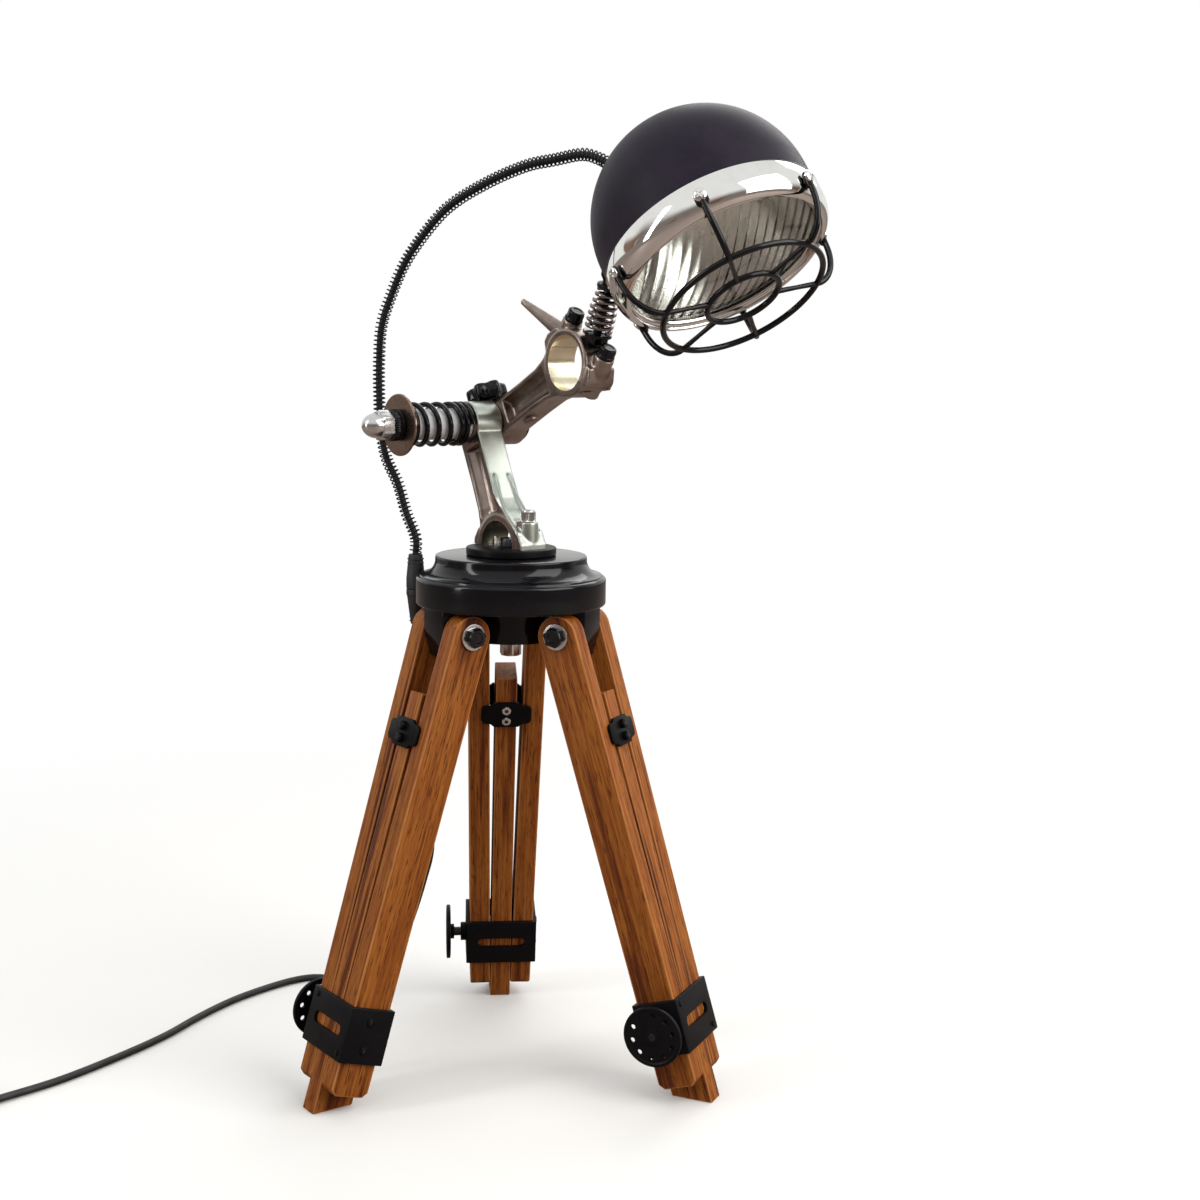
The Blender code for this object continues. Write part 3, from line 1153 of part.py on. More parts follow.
def make_coupler(coupler):
    upper = [(0, COUPLER_TOP_Z), (COUPLER_TOP_RADIUS, COUPLER_TOP_Z)]
    upper += [(COUPLER_RADIUS, COUPLER_SPLIT_Z + 4 * OVERRUN), (COUPLER_RADIUS, COUPLER_SPLIT_Z)]
    upper.append((0, COUPLER_SPLIT_Z))
    place = at(*coupler, 0)
    turned("coupler_upper", upper, False, root, rubber, place, 16)
    top = COUPLER_SPLIT_Z - GAP
    lower = [(0, top), (COUPLER_RADIUS, top), (COUPLER_RADIUS, top - 2 * OVERRUN)]
    lower += [(COUPLER_TAIL_RADIUS, COUPLER_BOTTOM_Z), (0, COUPLER_BOTTOM_Z)]
    turned("coupler_lower", lower, False, root, rubber, place, 16)


# Mains cord, its coil, tie and plug.
def coil_points():
    half_span = COIL_STEP * COIL_LAYER_TURNS / 2
    per_turn = 24
    winding = int(COIL_LAYER_TURNS * per_turn)
    climb = per_turn // 2
    points = []
    for i in range(2 * winding + climb + 1):
        if i <= winding:
            radius, height = COIL_RADIUS + half_span - COIL_STEP * i / per_turn, 0
        elif i <= winding + climb:
            radius, height = COIL_RADIUS - half_span, COIL_LAYER * (i - winding) / climb
        else:
            out = (i - winding - climb) / per_turn
            radius, height = COIL_RADIUS - half_span + COIL_STEP * out, COIL_LAYER
        angle = math.radians(COIL_START) - 2 * math.pi * i / per_turn
        points.append(Vector((
            COIL_CENTRE[0] + radius * math.cos(angle),
            COIL_CENTRE[1] + radius * math.sin(angle),
            COIL_HEIGHT + height,
        )))
    return points


def make_mains_cord():
    angle = math.radians(COUPLER_ANGLE)
    coupler = (COUPLER_REACH * math.cos(angle), COUPLER_REACH * math.sin(angle))
    start = Vector((*coupler, COUPLER_BOTTOM_Z - GAP))
    coil = coil_points()
    into = (coil[1] - coil[0]).normalized()
    meet = coil[0] - into * GAP
    route = [start, start - Vector((0, 0, 4 * CORD_RADIUS))] + list(CORD_ROUTE)
    route += [meet - into * 4 * CORD_RADIUS, meet]
    path, length = smooth_path(route, 50)
    tube("mains_cord", path, CORD_RADIUS, 2, root, rubber)
    leave = (coil[-1] - coil[-2]).normalized()
    flat = Vector((leave.x, leave.y, 0)).normalized()
    plug_level = PLUG_HEIGHT / 2
    tail = []
    steps = 4
    for i in range(1, steps + 1):
        share = i / steps
        eased = share * share * (3 - 2 * share)
        level = coil[-1].z + (plug_level - coil[-1].z) * eased
        tail.append(Vector((*(coil[-1] + flat * TAIL_LENGTH * share).xy, level)))
    tail.append(tail[-1] + flat * 2 * CORD_RADIUS)
    whole = coil + tail
    tube("cord_coil", whole, CORD_RADIUS, 1, root, rubber)
    print_least_gap("cord_coil", coil, CORD_RADIUS, 24)
    wound = sum((b - a).length for a, b in zip(whole, whole[1:]))
    print(f"mains cord: {length * 1000:.0f} mm shown and {wound * 1000:.0f} mm in the coil and tail")
    make_plug(tail[-1] + flat * GAP, math.atan2(flat.y, flat.x))
    make_tie()


def make_plug(start, heading):
    half = PLUG_WIDTH / 2
    tail = CORD_RADIUS * PLUG_TAIL_SHARE
    outline = [(0, -tail), (PLUG_LENGTH * (1 - PLUG_NOSE_SHARE), -half), (PLUG_LENGTH, -half)]
    outline += [(PLUG_LENGTH, half), (PLUG_LENGTH * (1 - PLUG_NOSE_SHARE), half), (0, tail)]
    mesh = plate_mesh(outline, PLUG_HEIGHT)
    mesh.transform(turn(math.pi / 2, "X"))
    place = Matrix.Translation(start) @ turn(heading, "Z")
    plug = piece("plug", mesh, root, rubber, place)
    ease(plug, OVERRUN)
    for side in (-1, 1):
        pin = cylinder(PLUG_PIN_RADIUS, PLUG_PIN_LENGTH + OVERRUN, 10)
        level = at(PLUG_LENGTH - OVERRUN, side * PLUG_PIN_SPACING / 2, 0)
        join(plug, pin, level @ turn(math.pi / 2, "Y"))


def make_tie():
    # The band goes round all the turns at one place.
    half_x = COIL_STEP * COIL_LAYER_TURNS / 2 + CORD_RADIUS + 2 * GAP + TIE_WALL
    half_z = (COIL_LAYER + 2 * CORD_RADIUS) / 2 + GAP + TIE_WALL
    corner = CORD_RADIUS + TIE_WALL
    outline = []
    for x, z, start in ((1, 1, 0), (-1, 1, 90), (-1, -1, 180), (1, -1, 270)):
        outline += arc(x * (half_x - corner), z * (half_z - corner), corner, start, start + 90, 3)
    angle = math.radians(TIE_ANGLE)
    centre = Vector((
        COIL_CENTRE[0] + COIL_RADIUS * math.cos(angle),
        COIL_CENTRE[1] + COIL_RADIUS * math.sin(angle),
        COIL_HEIGHT + COIL_LAYER / 2,
    ))
    tie = piece("cord_tie", plate_mesh(outline, TIE_WIDTH), root, rubber,
                Matrix.Translation(centre) @ turn(angle, "Z"))
    inside = []
    for x, z, start in ((1, 1, 0), (-1, 1, 90), (-1, -1, 180), (1, -1, 270)):
        inside += arc(x * (half_x - corner), z * (half_z - corner), CORD_RADIUS, start, start + 90, 3)
    cut(tie, plate_mesh(inside, TIE_WIDTH + 2 * OVERRUN))


def settle_origin():
    # The origin goes to the middle of the lamp's own box, without the cord that lies beside it.
    loose = {"mains_cord", "cord_coil", "cord_tie", "plug"}
    bpy.context.view_layer.update()
    graph = bpy.context.evaluated_depsgraph_get()
    places = []
    for obj in partCollection.objects:
        if obj.type == "EMPTY" or obj.name in loose:
            continue
        shape = obj.evaluated_get(graph)
        mesh = shape.to_mesh()
        for vertex in mesh.vertices:
            places.append((shape.matrix_world @ vertex.co).xy)
        shape.to_mesh_clear()
    middle = (np.min(places, axis=0) + np.max(places, axis=0)) / 2
    root.location = (-middle[0], -middle[1], 0)
    bpy.context.view_layer.update()
    print(f"tripod axis at {root.location.x * 1000:.2f}, {root.location.y * 1000:.2f} mm")


clear_scene()
partCollection = collection("Desk lamp")
cutterCollection = collection("Cutters and guides")
wood = finish("Stained wood", (0.36, 0.13, 0.035), 0.0, 0.45)
black = finish("Gloss black", (0.012, 0.012, 0.014), 0.0, 0.2)
satinBlack = finish("Satin black", (0.02, 0.02, 0.023), 0.0, 0.45)
aluminium = finish("Cast aluminium", (0.60, 0.57, 0.52), 1.0, 0.38)
steel = finish("Zinc plated steel", (0.66, 0.66, 0.66), 1.0, 0.25)
darkSteel = finish("Dark steel", (0.10, 0.10, 0.11), 1.0, 0.35)
darkChrome = finish("Dark chrome", (0.20, 0.18, 0.18), 1.0, 0.15)
chrome = finish("Chrome", (0.85, 0.85, 0.87), 1.0, 0.05)
mirror = finish("Reflector", (0.90, 0.90, 0.92), 1.0, 0.08)
glass = finish("Glass", (0.90, 0.93, 0.94), 0.0, 0.05)
whitePlastic = finish("White sleeve", (0.80, 0.80, 0.82), 0.0, 0.4)
rubber = finish("Black rubber", (0.015, 0.015, 0.016), 0.0, 0.6)

root = frame("desk_lamp")
armTurn = turn(math.radians(ARM_AZIMUTH - 90), "Z")
turntable = frame("turntable", root, (0, 0, TURRET_TOP_Z), armTurn)
elbow = frame(
    "elbow", turntable, (PIN_REACH, 0, PIN_Z - TURRET_TOP_Z), turn(-math.radians(ARM_ELEVATION), "Y"),
)
make_turret()
make_swivel()
for legName, legAngle in LEG_ANGLES.items():
    make_leg(legName, legAngle)
make_lower_rod()
make_upper_rod()
make_pivot()
make_star_knob()
mount = make_mount()
bpy.context.view_layer.update()
earCentre = mount.matrix_world @ Vector((0, 0, HEAD_SPRING_LENGTH + EAR_THICKNESS / 2))
head = frame("head", elbow)
head.matrix_world = Matrix.Translation(earCentre) @ armTurn
bpy.context.view_layer.update()
stud_in_head = head.matrix_world.inverted() @ mount.matrix_world
stud_in_head.translation = (0, 0, 0)
lampCentre = armTurn @ Vector((LAMP_REACH, LAMP_SIDE, 0))
lamp = frame("lamp", head)
lamp.matrix_world = (
    Matrix.Translation((lampCentre.x, lampCentre.y, LAMP_Z)) @ armTurn
    @ turn(math.radians(LAMP_TURN), "Z") @ turn(math.pi / 2 + math.radians(LAMP_DIP), "Y")
)
bpy.context.view_layer.update()
make_shell(lamp)
make_front(lamp)
make_grille(lamp)
make_wing_nut(head)
make_lead(lamp)
make_mains_cord()
settle_origin()
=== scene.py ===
# Tripod desk lamp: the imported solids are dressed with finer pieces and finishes, under soft
# studio light. Metres, +Z up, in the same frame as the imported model.

import math

import bmesh
import bpy
import numpy as np
from mathutils import Matrix, Vector


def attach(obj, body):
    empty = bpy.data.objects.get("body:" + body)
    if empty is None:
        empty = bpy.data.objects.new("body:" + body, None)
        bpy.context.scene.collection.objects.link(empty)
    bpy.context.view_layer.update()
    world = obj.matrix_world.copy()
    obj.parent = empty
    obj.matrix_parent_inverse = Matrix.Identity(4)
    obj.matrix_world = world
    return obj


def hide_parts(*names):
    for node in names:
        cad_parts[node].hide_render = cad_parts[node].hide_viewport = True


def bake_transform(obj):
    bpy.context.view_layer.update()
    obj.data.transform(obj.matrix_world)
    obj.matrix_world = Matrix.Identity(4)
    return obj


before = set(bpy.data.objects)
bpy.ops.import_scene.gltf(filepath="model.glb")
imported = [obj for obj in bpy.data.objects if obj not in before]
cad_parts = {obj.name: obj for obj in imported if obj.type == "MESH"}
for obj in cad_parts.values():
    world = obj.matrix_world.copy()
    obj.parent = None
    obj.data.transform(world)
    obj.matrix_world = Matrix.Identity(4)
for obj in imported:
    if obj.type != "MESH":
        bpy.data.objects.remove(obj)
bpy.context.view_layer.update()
print("frame loaded")


def shift(x, y, z):
    return Matrix.Translation((x, y, z))


def swing(degrees, axis):
    return Matrix.Rotation(math.radians(degrees), 4, axis)


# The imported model's own places: the tripod, the turning plate, the pivot, the lamp's mount and the lamp.
axes = {
    "tripod": (-0.02502, 0.013287, 0),
    "plateTop": 0.3895,
    "armTurn": -57.0,
    "pin": (-0.043553, 0, 0.094479),
    "armLift": 27.0,
    "upperRodSide": 0.02345,
    "lowerRod": (0.0977, 25.3),       # pin to big end, and the angle of its parting plane
    "upperRod": (0.1020, 28.3),
    "seat": (0.0058, 0, 0.0298),
    "studLean": 14.0,
    "lampReach": (0.1636, 0.0450, 0.6156),
    "lampDip": 52.7,
    "lampTurn": 1.1,
    "hingeRadius": 0.0520,
    "hingeHeight": 0.3365,
    "footRadius": 0.1544,
}
legAngles = {"left": 210.0, "right": 330.0, "back": 90.0}
gap = 0.0003                          # left between two pieces that meet


def partingPlace(length, split):
    return shift(length, 0, 0) @ swing(90 - split, "Y")


tripod = Matrix.Translation(axes["tripod"])
table = tripod @ shift(0, 0, axes["plateTop"]) @ swing(axes["armTurn"], "Z")
pin = table @ shift(*axes["pin"])
elbow = pin @ swing(-axes["armLift"], "Y")
pivot = pin @ swing(90, "X")
lowerRod = pin @ swing(90 - axes["lowerRod"][1], "Y") @ swing(180, "X")
upperRod = elbow @ shift(0, axes["upperRodSide"], 0)
mount = upperRod @ partingPlace(*axes["upperRod"]) @ shift(*axes["seat"]) @ swing(-axes["studLean"], "Y")
lampAt = tripod @ swing(axes["armTurn"], "Z") @ Vector(axes["lampReach"])
lamp = Matrix.Translation(lampAt) @ swing(axes["armTurn"] + axes["lampTurn"], "Z")
lamp = lamp @ swing(90 + axes["lampDip"], "Y")
legTilt = math.degrees(math.atan2(axes["footRadius"] - axes["hingeRadius"], axes["hingeHeight"]))
legs = {}
for legName, legAngle in legAngles.items():
    legs[legName] = tripod @ swing(legAngle, "Z") @ shift(axes["hingeRadius"], 0, axes["hingeHeight"])
    legs[legName] = legs[legName] @ swing(-legTilt, "Y")


def linked(name, data):
    obj = bpy.data.objects.new(name, data)
    bpy.context.scene.collection.objects.link(obj)
    return obj


# Camera at the photograph's place, measured from the tripod.
cameraSpec = {
    "place": (-0.06997, -1.34247, 0.54937),
    "lens": 55.07,
    "sensor": 36,
    "near": 0.05,
    "pitch": 0.14263,
    "yaw": 0.10105,
    "roll": 0.01313,
}


def placeCamera(spec):
    pitch, yaw, roll = spec["pitch"], spec["yaw"], spec["roll"]
    ahead = Vector((math.sin(yaw) * math.cos(pitch), math.cos(yaw) * math.cos(pitch), -math.sin(pitch)))
    right = Vector((math.cos(yaw), -math.sin(yaw), 0))
    up = right.cross(ahead)
    across = right * math.cos(roll) + up * math.sin(roll)
    upwards = up * math.cos(roll) - right * math.sin(roll)
    data = bpy.data.cameras.new("camera")
    data.lens = spec["lens"]
    data.sensor_width = spec["sensor"]
    data.clip_start = spec["near"]
    camera = linked("camera", data)
    turnBy = Matrix((across, upwards, -ahead)).transposed().to_4x4()
    camera.matrix_world = tripod @ Matrix.Translation(spec["place"]) @ turnBy
    bpy.context.scene.camera = camera


placeCamera(cameraSpec)
print("camera placed")


# Shader trees. A Signal is one output socket, and arithmetic on it adds Math nodes.
class Signal:
    def __init__(self, paint, socket):
        self.paint = paint
        self.socket = socket

    def calc(self, operation, *values):
        return self.paint.node("ShaderNodeMath", {"operation": operation}, dict(enumerate(values)))

    def wave(self):
        return self.calc("SINE", self)

    def __add__(self, other):
        return self.calc("ADD", self, other)

    def __rsub__(self, other):
        return self.calc("SUBTRACT", other, self)

    def __mul__(self, other):
        return self.calc("MULTIPLY", self, other)

    __radd__ = __add__
    __rmul__ = __mul__

    def between(self, low, high):            # 0 below low, 1 above high, smooth between them
        return self.paint.node(
            "ShaderNodeMapRange", {"interpolation_type": "SMOOTHSTEP"},
            {"Value": self, "From Min": low, "From Max": high},
        )


class Paint:
    def __init__(self, tree):
        self.tree = tree

    def node(self, kind, settings=None, values=None, out=0):
        made = self.tree.nodes.new(kind)
        for name, value in (settings or {}).items():
            setattr(made, name, value)
        for key, value in (values or {}).items():
            self.feed(made.inputs[key], value)
        return Signal(self, made.outputs[out])

    def feed(self, socket, value):
        if isinstance(value, Signal):
            self.tree.links.new(value.socket, socket)
        elif isinstance(value, tuple) and len(value) == 3 and socket.type == "RGBA":
            socket.default_value = (*value, 1)
        else:
            socket.default_value = value

    def place(self, kind="Object"):
        return self.node("ShaderNodeTexCoord", out=kind)

    def seen(self):                          # 1 for what the camera sees directly
        return self.node("ShaderNodeLightPath", out="Is Camera Ray")

    def stretched(self, vector, scale):
        return self.node("ShaderNodeMapping", {}, {"Vector": vector, "Scale": scale})

    def noise(self, vector, scale, detail=3.0, roughness=0.5):
        return self.node(
            "ShaderNodeTexNoise", {},
            {"Vector": vector, "Scale": scale, "Detail": detail, "Roughness": roughness},
        )

    def mix(self, factor, low, high):
        made = self.tree.nodes.new("ShaderNodeMix")
        made.data_type = "RGBA"
        for key, value in ((0, factor), (6, low), (7, high)):     # the colour sockets of the Mix node
            self.feed(made.inputs[key], value)
        return Signal(self, made.outputs[2])

    def bump(self, height, strength, distance):
        return self.node(
            "ShaderNodeBump", {}, {"Height": height, "Strength": strength, "Distance": distance},
            out="Normal",
        )


class Finish(Paint):
    def __init__(self, name):
        self.material = bpy.data.materials.new(name)
        self.material.use_nodes = True
        super().__init__(self.material.node_tree)
        self.shader = self.tree.nodes["Principled BSDF"]

    def wear(self, **sockets):
        for name, value in sockets.items():
            self.feed(self.shader.inputs[name.replace("_", " ")], value)
        return self.material


# Colours are linear. The four grains say how finely each noise is stretched over and along a slat.
woodLook = {
    "dark": (0.085, 0.018, 0.004),
    "mid": (0.245, 0.066, 0.010),
    "light": (0.430, 0.155, 0.027),
    "pore": (0.040, 0.009, 0.003),
    "edge": (0.560, 0.240, 0.085),
    "wander": (26, 26, 5),
    "figure": (120, 120, 5),
    "streaks": (900, 900, 22),
    "pores": (1050, 1050, 75),
}


def stainedWood(look):
    paint = Finish("stainedWood")
    grain = paint.node("ShaderNodeAttribute", {"attribute_name": "grainSpace"}, out="Vector")
    wander = paint.noise(paint.stretched(grain, look["wander"]), 1.0, 2.0)
    figure = paint.noise(paint.stretched(grain, look["figure"]), 1.0, 4.0, 0.55)
    streaks = paint.noise(paint.stretched(grain, look["streaks"]), 1.0, 3.0, 0.6)
    pores = paint.noise(paint.stretched(grain, look["pores"]), 1.0, 3.0, 0.6).between(0.54, 0.66)
    rings = (figure * 20.0 + wander * 9.0).wave() * 0.5 + 0.5
    tone = (figure * 0.42 + rings * 0.12 + streaks * 0.24 + wander * 0.22).between(0.28, 0.70)
    worn = paint.node("ShaderNodeAttribute", {"attribute_name": "easedEdge"}, out="Fac")
    colour = paint.mix(tone.between(0.0, 0.55), look["dark"], look["mid"])
    colour = paint.mix(tone.between(0.45, 1.0), colour, look["light"])
    colour = paint.mix(pores * 0.75, colour, look["pore"])
    colour = paint.mix(worn * (0.25 + streaks * 0.5), colour, look["edge"])
    relief = streaks * 0.35 + pores * -1.0
    return paint.wear(
        Base_Color=colour, Roughness=0.42 + streaks * 0.16 + pores * 0.2, Specular_IOR_Level=0.15,
        Normal=paint.bump(relief, 0.35, 0.0003), Coat_Weight=0.05, Coat_Roughness=0.25,
    )


def lacquer(name, colour, roughness, grain, depth, coat=0.0):
    paint = Finish(name)
    place = paint.place()
    fine = paint.noise(place, grain, 2.0)
    smears = paint.noise(place, 38.0, 3.0, 0.6)
    dust = paint.noise(place, 2600.0, 0.0).between(0.78, 0.86)
    tint = tuple(min(1.0, part * 1.7 + 0.0010) for part in colour)
    shade = paint.mix(smears.between(0.35, 0.75) * 0.6, colour, tint)
    shade = paint.mix(dust * 0.12, shade, (0.30, 0.29, 0.27))
    return paint.wear(
        Base_Color=shade, Roughness=roughness - 0.05 + smears * 0.12, Specular_IOR_Level=0.12,
        Normal=paint.bump(fine, 0.25, depth), Coat_Weight=coat, Coat_Roughness=0.08,
    )


def bareMetal(name, colour, shadow, roughness, grain, depth, spread=0.12):
    paint = Finish(name)
    place = paint.place()
    pits = paint.noise(place, grain, 4.0, 0.6)
    cloud = paint.noise(place, 55.0, 4.0, 0.6)
    shade = paint.mix((cloud * 0.7 + pits * 0.3).between(0.30, 0.62), shadow, colour)
    return paint.wear(
        Base_Color=shade, Metallic=1.0, Roughness=roughness - spread / 2 + cloud * spread,
        Normal=paint.bump(pits, 0.3, depth),
    )


def brushedMetal(name, colour, shadow, roughness, stretch):
    paint = Finish(name)
    lines = paint.noise(paint.stretched(paint.place(), stretch), 1.0, 3.0, 0.7)
    cloud = paint.noise(paint.place(), 70.0, 3.0)
    shade = paint.mix((lines * 0.6 + cloud * 0.4).between(0.3, 0.7), shadow, colour)
    return paint.wear(
        Base_Color=shade, Metallic=1.0, Roughness=roughness + lines * 0.12,
        Normal=paint.bump(lines, 0.12, 0.00008),
    )


def clearGlass(name, tint, roughness):
    paint = Finish(name)
    waves = paint.noise(paint.place(), 60.0, 1.0)
    return paint.wear(
        Base_Color=paint.mix(waves, tint, (1.0, 1.0, 1.0)), Roughness=roughness,
        Transmission_Weight=1.0, IOR=1.47, Normal=paint.bump(waves, 0.08, 0.0004),
    )


def moulded(name, colour, roughness, grain, depth):
    paint = Finish(name)
    place = paint.place()
    fine = paint.noise(place, grain, 3.0)
    cloud = paint.noise(place, 90.0, 2.0)
    tint = tuple(min(1.0, part * 1.5 + 0.006) for part in colour)
    return paint.wear(
        Base_Color=paint.mix(cloud.between(0.35, 0.7), colour, tint), Roughness=roughness + fine * 0.1,
        Normal=paint.bump(fine, 0.3, depth),
    )


wood = stainedWood(woodLook)
gloss = lacquer("glossBlack", (0.0030, 0.0030, 0.0046), roughness=0.17, grain=900.0, depth=0.00004, coat=0.34)
satin = lacquer("satinBlack", (0.0032, 0.0030, 0.0038), roughness=0.40, grain=2400.0, depth=0.00006)
domePaint = lacquer("domeBlack", (0.0150, 0.0112, 0.0200), roughness=0.44, grain=3200.0, depth=0.00005)
cast = bareMetal("castAluminium", (0.36, 0.295, 0.26), (0.20, 0.15, 0.13), roughness=0.30, grain=1500.0,
                 depth=0.00016)
# A paler, greener copy of the cast aluminium: a painted reflection on the lower rod's front flange.
flangeReflectionCast = bareMetal("flangeReflectionAluminium", (0.48, 0.52, 0.47), (0.38, 0.41, 0.37), roughness=0.36, grain=1900.0,
                      depth=0.00010)
machined = brushedMetal("machinedAluminium", (0.84, 0.78, 0.60), (0.66, 0.58, 0.42), roughness=0.17,
                        stretch=(300, 2400, 2400))
zinc = brushedMetal("zincPlate", (0.72, 0.73, 0.75), (0.54, 0.52, 0.50), roughness=0.15,
                    stretch=(900, 900, 900))
darkSteel = bareMetal("darkSteel", (0.055, 0.055, 0.06), (0.03, 0.03, 0.03), roughness=0.26, grain=1400.0,
                      depth=0.00006)
washerSteel = brushedMetal("washerSteel", (0.33, 0.24, 0.19), (0.21, 0.15, 0.115), roughness=0.20,
                           stretch=(700, 700, 700))
darkChrome = bareMetal("darkChrome", (0.30, 0.26, 0.25), (0.20, 0.17, 0.17), roughness=0.14, grain=500.0,
                       depth=0.00002, spread=0.05)
chrome = bareMetal("chrome", (0.88, 0.87, 0.85), (0.82, 0.80, 0.78), roughness=0.05, grain=300.0,
                   depth=0.00001, spread=0.03)
mirror = bareMetal("reflectorMirror", (0.90, 0.91, 0.87), (0.84, 0.84, 0.79), roughness=0.20, grain=260.0,
                   depth=0.00002, spread=0.04)
lensGlass = clearGlass("lensGlass", (0.93, 0.96, 0.93), roughness=0.02)
bulbGlass = clearGlass("bulbGlass", (0.95, 0.94, 0.90), roughness=0.05)
sleeveWhite = moulded("whiteSleeve", (0.86, 0.86, 0.90), roughness=0.34, grain=1200.0, depth=0.00003)
rubber = moulded("blackRubber", (0.012, 0.012, 0.013), roughness=0.50, grain=1800.0, depth=0.00008)
darkGuard = lacquer("guardBlack", (0.012, 0.011, 0.013), roughness=0.30, grain=1800.0, depth=0.00003)
print("finishes made")


# Meshes as (points, faces), put together in a piece's own axes.
def moved(part, place):
    points, faces = part
    turnBy = np.array(place.to_3x3())
    return np.asarray(points) @ turnBy.T + np.array(place.translation), faces


def lathe(rings, steps=64, closed=False):
    # Each ring is (radius, height), and the radius may be a function of the angle.
    angles = np.arange(steps) * 2 * math.pi / steps
    points, rows = [], []
    for radius, height in rings:
        if not callable(radius) and radius < 1e-7:
            rows.append([len(points)] * steps)
            points.append((0, 0, height))
            continue
        reach = radius(angles) if callable(radius) else np.full(steps, radius)
        rows.append(list(range(len(points), len(points) + steps)))
        points += list(zip(reach * np.cos(angles), reach * np.sin(angles), np.full(steps, height)))
    pairs = list(zip(rows, rows[1:])) + ([(rows[-1], rows[0])] if closed else [])
    faces = []
    for low, high in pairs:
        for i in range(steps):
            k = (i + 1) % steps
            corners = list(dict.fromkeys((low[i], low[k], high[k], high[i])))
            if len(corners) > 2:
                faces.append(corners)
    return np.array(points), faces


def hexagon(across):
    # Radius at each angle of a hexagon with that distance across its flats.
    def radius(angles):
        inside = (angles + math.pi / 6) % (math.pi / 3) - math.pi / 6
        return across / 2 / np.cos(inside)
    return radius


def lobed(outer, count, depth):
    return lambda angles: outer - depth * (1 - np.cos(count * angles))


def knurled(outer, count, depth):
    return lambda angles: outer - depth * (0.5 + 0.5 * np.cos(count * angles))


def rounded(points, radius, steps=3):
    # A profile with its inner corners rounded.
    made = [points[0]]
    for before, corner, after in zip(points, points[1:], points[2:]):
        corner = Vector(corner)
        start = Vector(before) - corner
        end = Vector(after) - corner
        reach = min(radius, start.length * 0.49, end.length * 0.49)
        first, last = corner + start.normalized() * reach, corner + end.normalized() * reach
        for i in range(steps + 1):
            share = i / steps
            made.append(tuple(first.lerp(corner, share).lerp(corner.lerp(last, share), share)))
    return made + [points[-1]]


def drum(radius, height, edge=0.0004, steps=48):
    return lathe(rounded([(0, 0), (radius, 0), (radius, height), (0, height)], edge), steps)


def tubeFrames(points):
    tangents = np.gradient(points, axis=0)
    tangents /= np.linalg.norm(tangents, axis=1)[:, None]
    side = np.array(Vector(tangents[0]).orthogonal().normalized())
    sides = []
    for tangent in tangents:
        side = side - tangent * side.dot(tangent)
        side = side / np.linalg.norm(side)
        sides.append(side)
    sides = np.array(sides)
    return sides, np.cross(tangents, sides)


def tubeFaces(count, sides):
    # The faces of a tube of whole rings, with its ends closed.
    faces = [list(range(sides))[::-1], list(range((count - 1) * sides, count * sides))]
    for i in range(count - 1):
        low, high = i * sides, (i + 1) * sides
        faces += [[low + k, low + (k + 1) % sides, high + (k + 1) % sides, high + k] for k in range(sides)]
    return faces


def sweep(points, radius, sides=10):
    points = np.asarray([tuple(point) for point in points], float)
    across, upwards = tubeFrames(points)
    reach = np.broadcast_to(radius, (len(points),))
    angles = np.arange(sides) * 2 * math.pi / sides
    rings = (
        points[:, None] + reach[:, None, None]
        * (np.cos(angles)[None, :, None] * across[:, None] + np.sin(angles)[None, :, None] * upwards[:, None])
    ).reshape(-1, 3)
    return rings, tubeFaces(len(points), sides)


def ringSlice(part, sides, first, last):
    # Part of a tube of whole rings, with its cut ends closed.
    points = part[0][first * sides:(last + 1) * sides]
    return points, tubeFaces(len(points) // sides, sides)


def ring(radius, wire, level, steps=96, sides=14):
    angles = np.arange(sides) * 2 * math.pi / sides
    return lathe([(radius + wire * math.sin(a), level + wire * math.cos(a)) for a in angles], steps, True)


def arc(x, z, radius, start, end, steps):
    angles = np.radians(np.linspace(start, end, steps + 1))
    return [(x + radius * math.cos(a), z + radius * math.sin(a)) for a in angles]


def takeApart(shape):
    shape.verts.index_update()
    points = np.array([tuple(vert.co) for vert in shape.verts])
    faces = [[vert.index for vert in face.verts] for face in shape.faces]
    shape.free()
    return points, faces


def prism(outline, thickness, edge=0.0, segments=2):
    # The outline lies in X and Z, and the plate is centred on Y, with its edges eased.
    shape = bmesh.new()
    front = [shape.verts.new((x, -thickness / 2, z)) for x, z in outline]
    shape.faces.new(front)
    made = bmesh.ops.extrude_face_region(shape, geom=shape.faces[:])
    bmesh.ops.translate(
        shape, verts=[item for item in made["geom"] if isinstance(item, bmesh.types.BMVert)],
        vec=(0, thickness, 0),
    )
    bmesh.ops.recalc_face_normals(shape, faces=shape.faces)
    if edge:
        sharp = [e for e in shape.edges if len(e.link_faces) == 2 and e.calc_face_angle(0) > math.radians(28)]
        bmesh.ops.bevel(
            shape, geom=sharp, offset=edge, segments=segments, profile=0.5, affect="EDGES",
            clamp_overlap=True,
        )
    return takeApart(shape)


def slab(x, y, z, edge=0.0, segments=2):
    return prism([(-x / 2, -z / 2), (x / 2, -z / 2), (x / 2, z / 2), (-x / 2, z / 2)], y, edge, segments)


def mirrored(outline):
    # An upper edge that runs along X, closed by the same edge below.
    return outline + [(x, -z) for x, z in reversed(outline)]


def meshOf(part, name="part"):
    mesh = bpy.data.meshes.new(name)
    mesh.from_pydata([tuple(point) for point in part[0]], [], part[1])
    shape = bmesh.new()
    shape.from_mesh(mesh)
    bmesh.ops.recalc_face_normals(shape, faces=shape.faces)
    shape.to_mesh(mesh)
    shape.free()
    return mesh


def partOf(mesh):
    points = np.empty(len(mesh.vertices) * 3)
    mesh.vertices.foreach_get("co", points)
    return points.reshape(-1, 3), [list(face.vertices) for face in mesh.polygons]


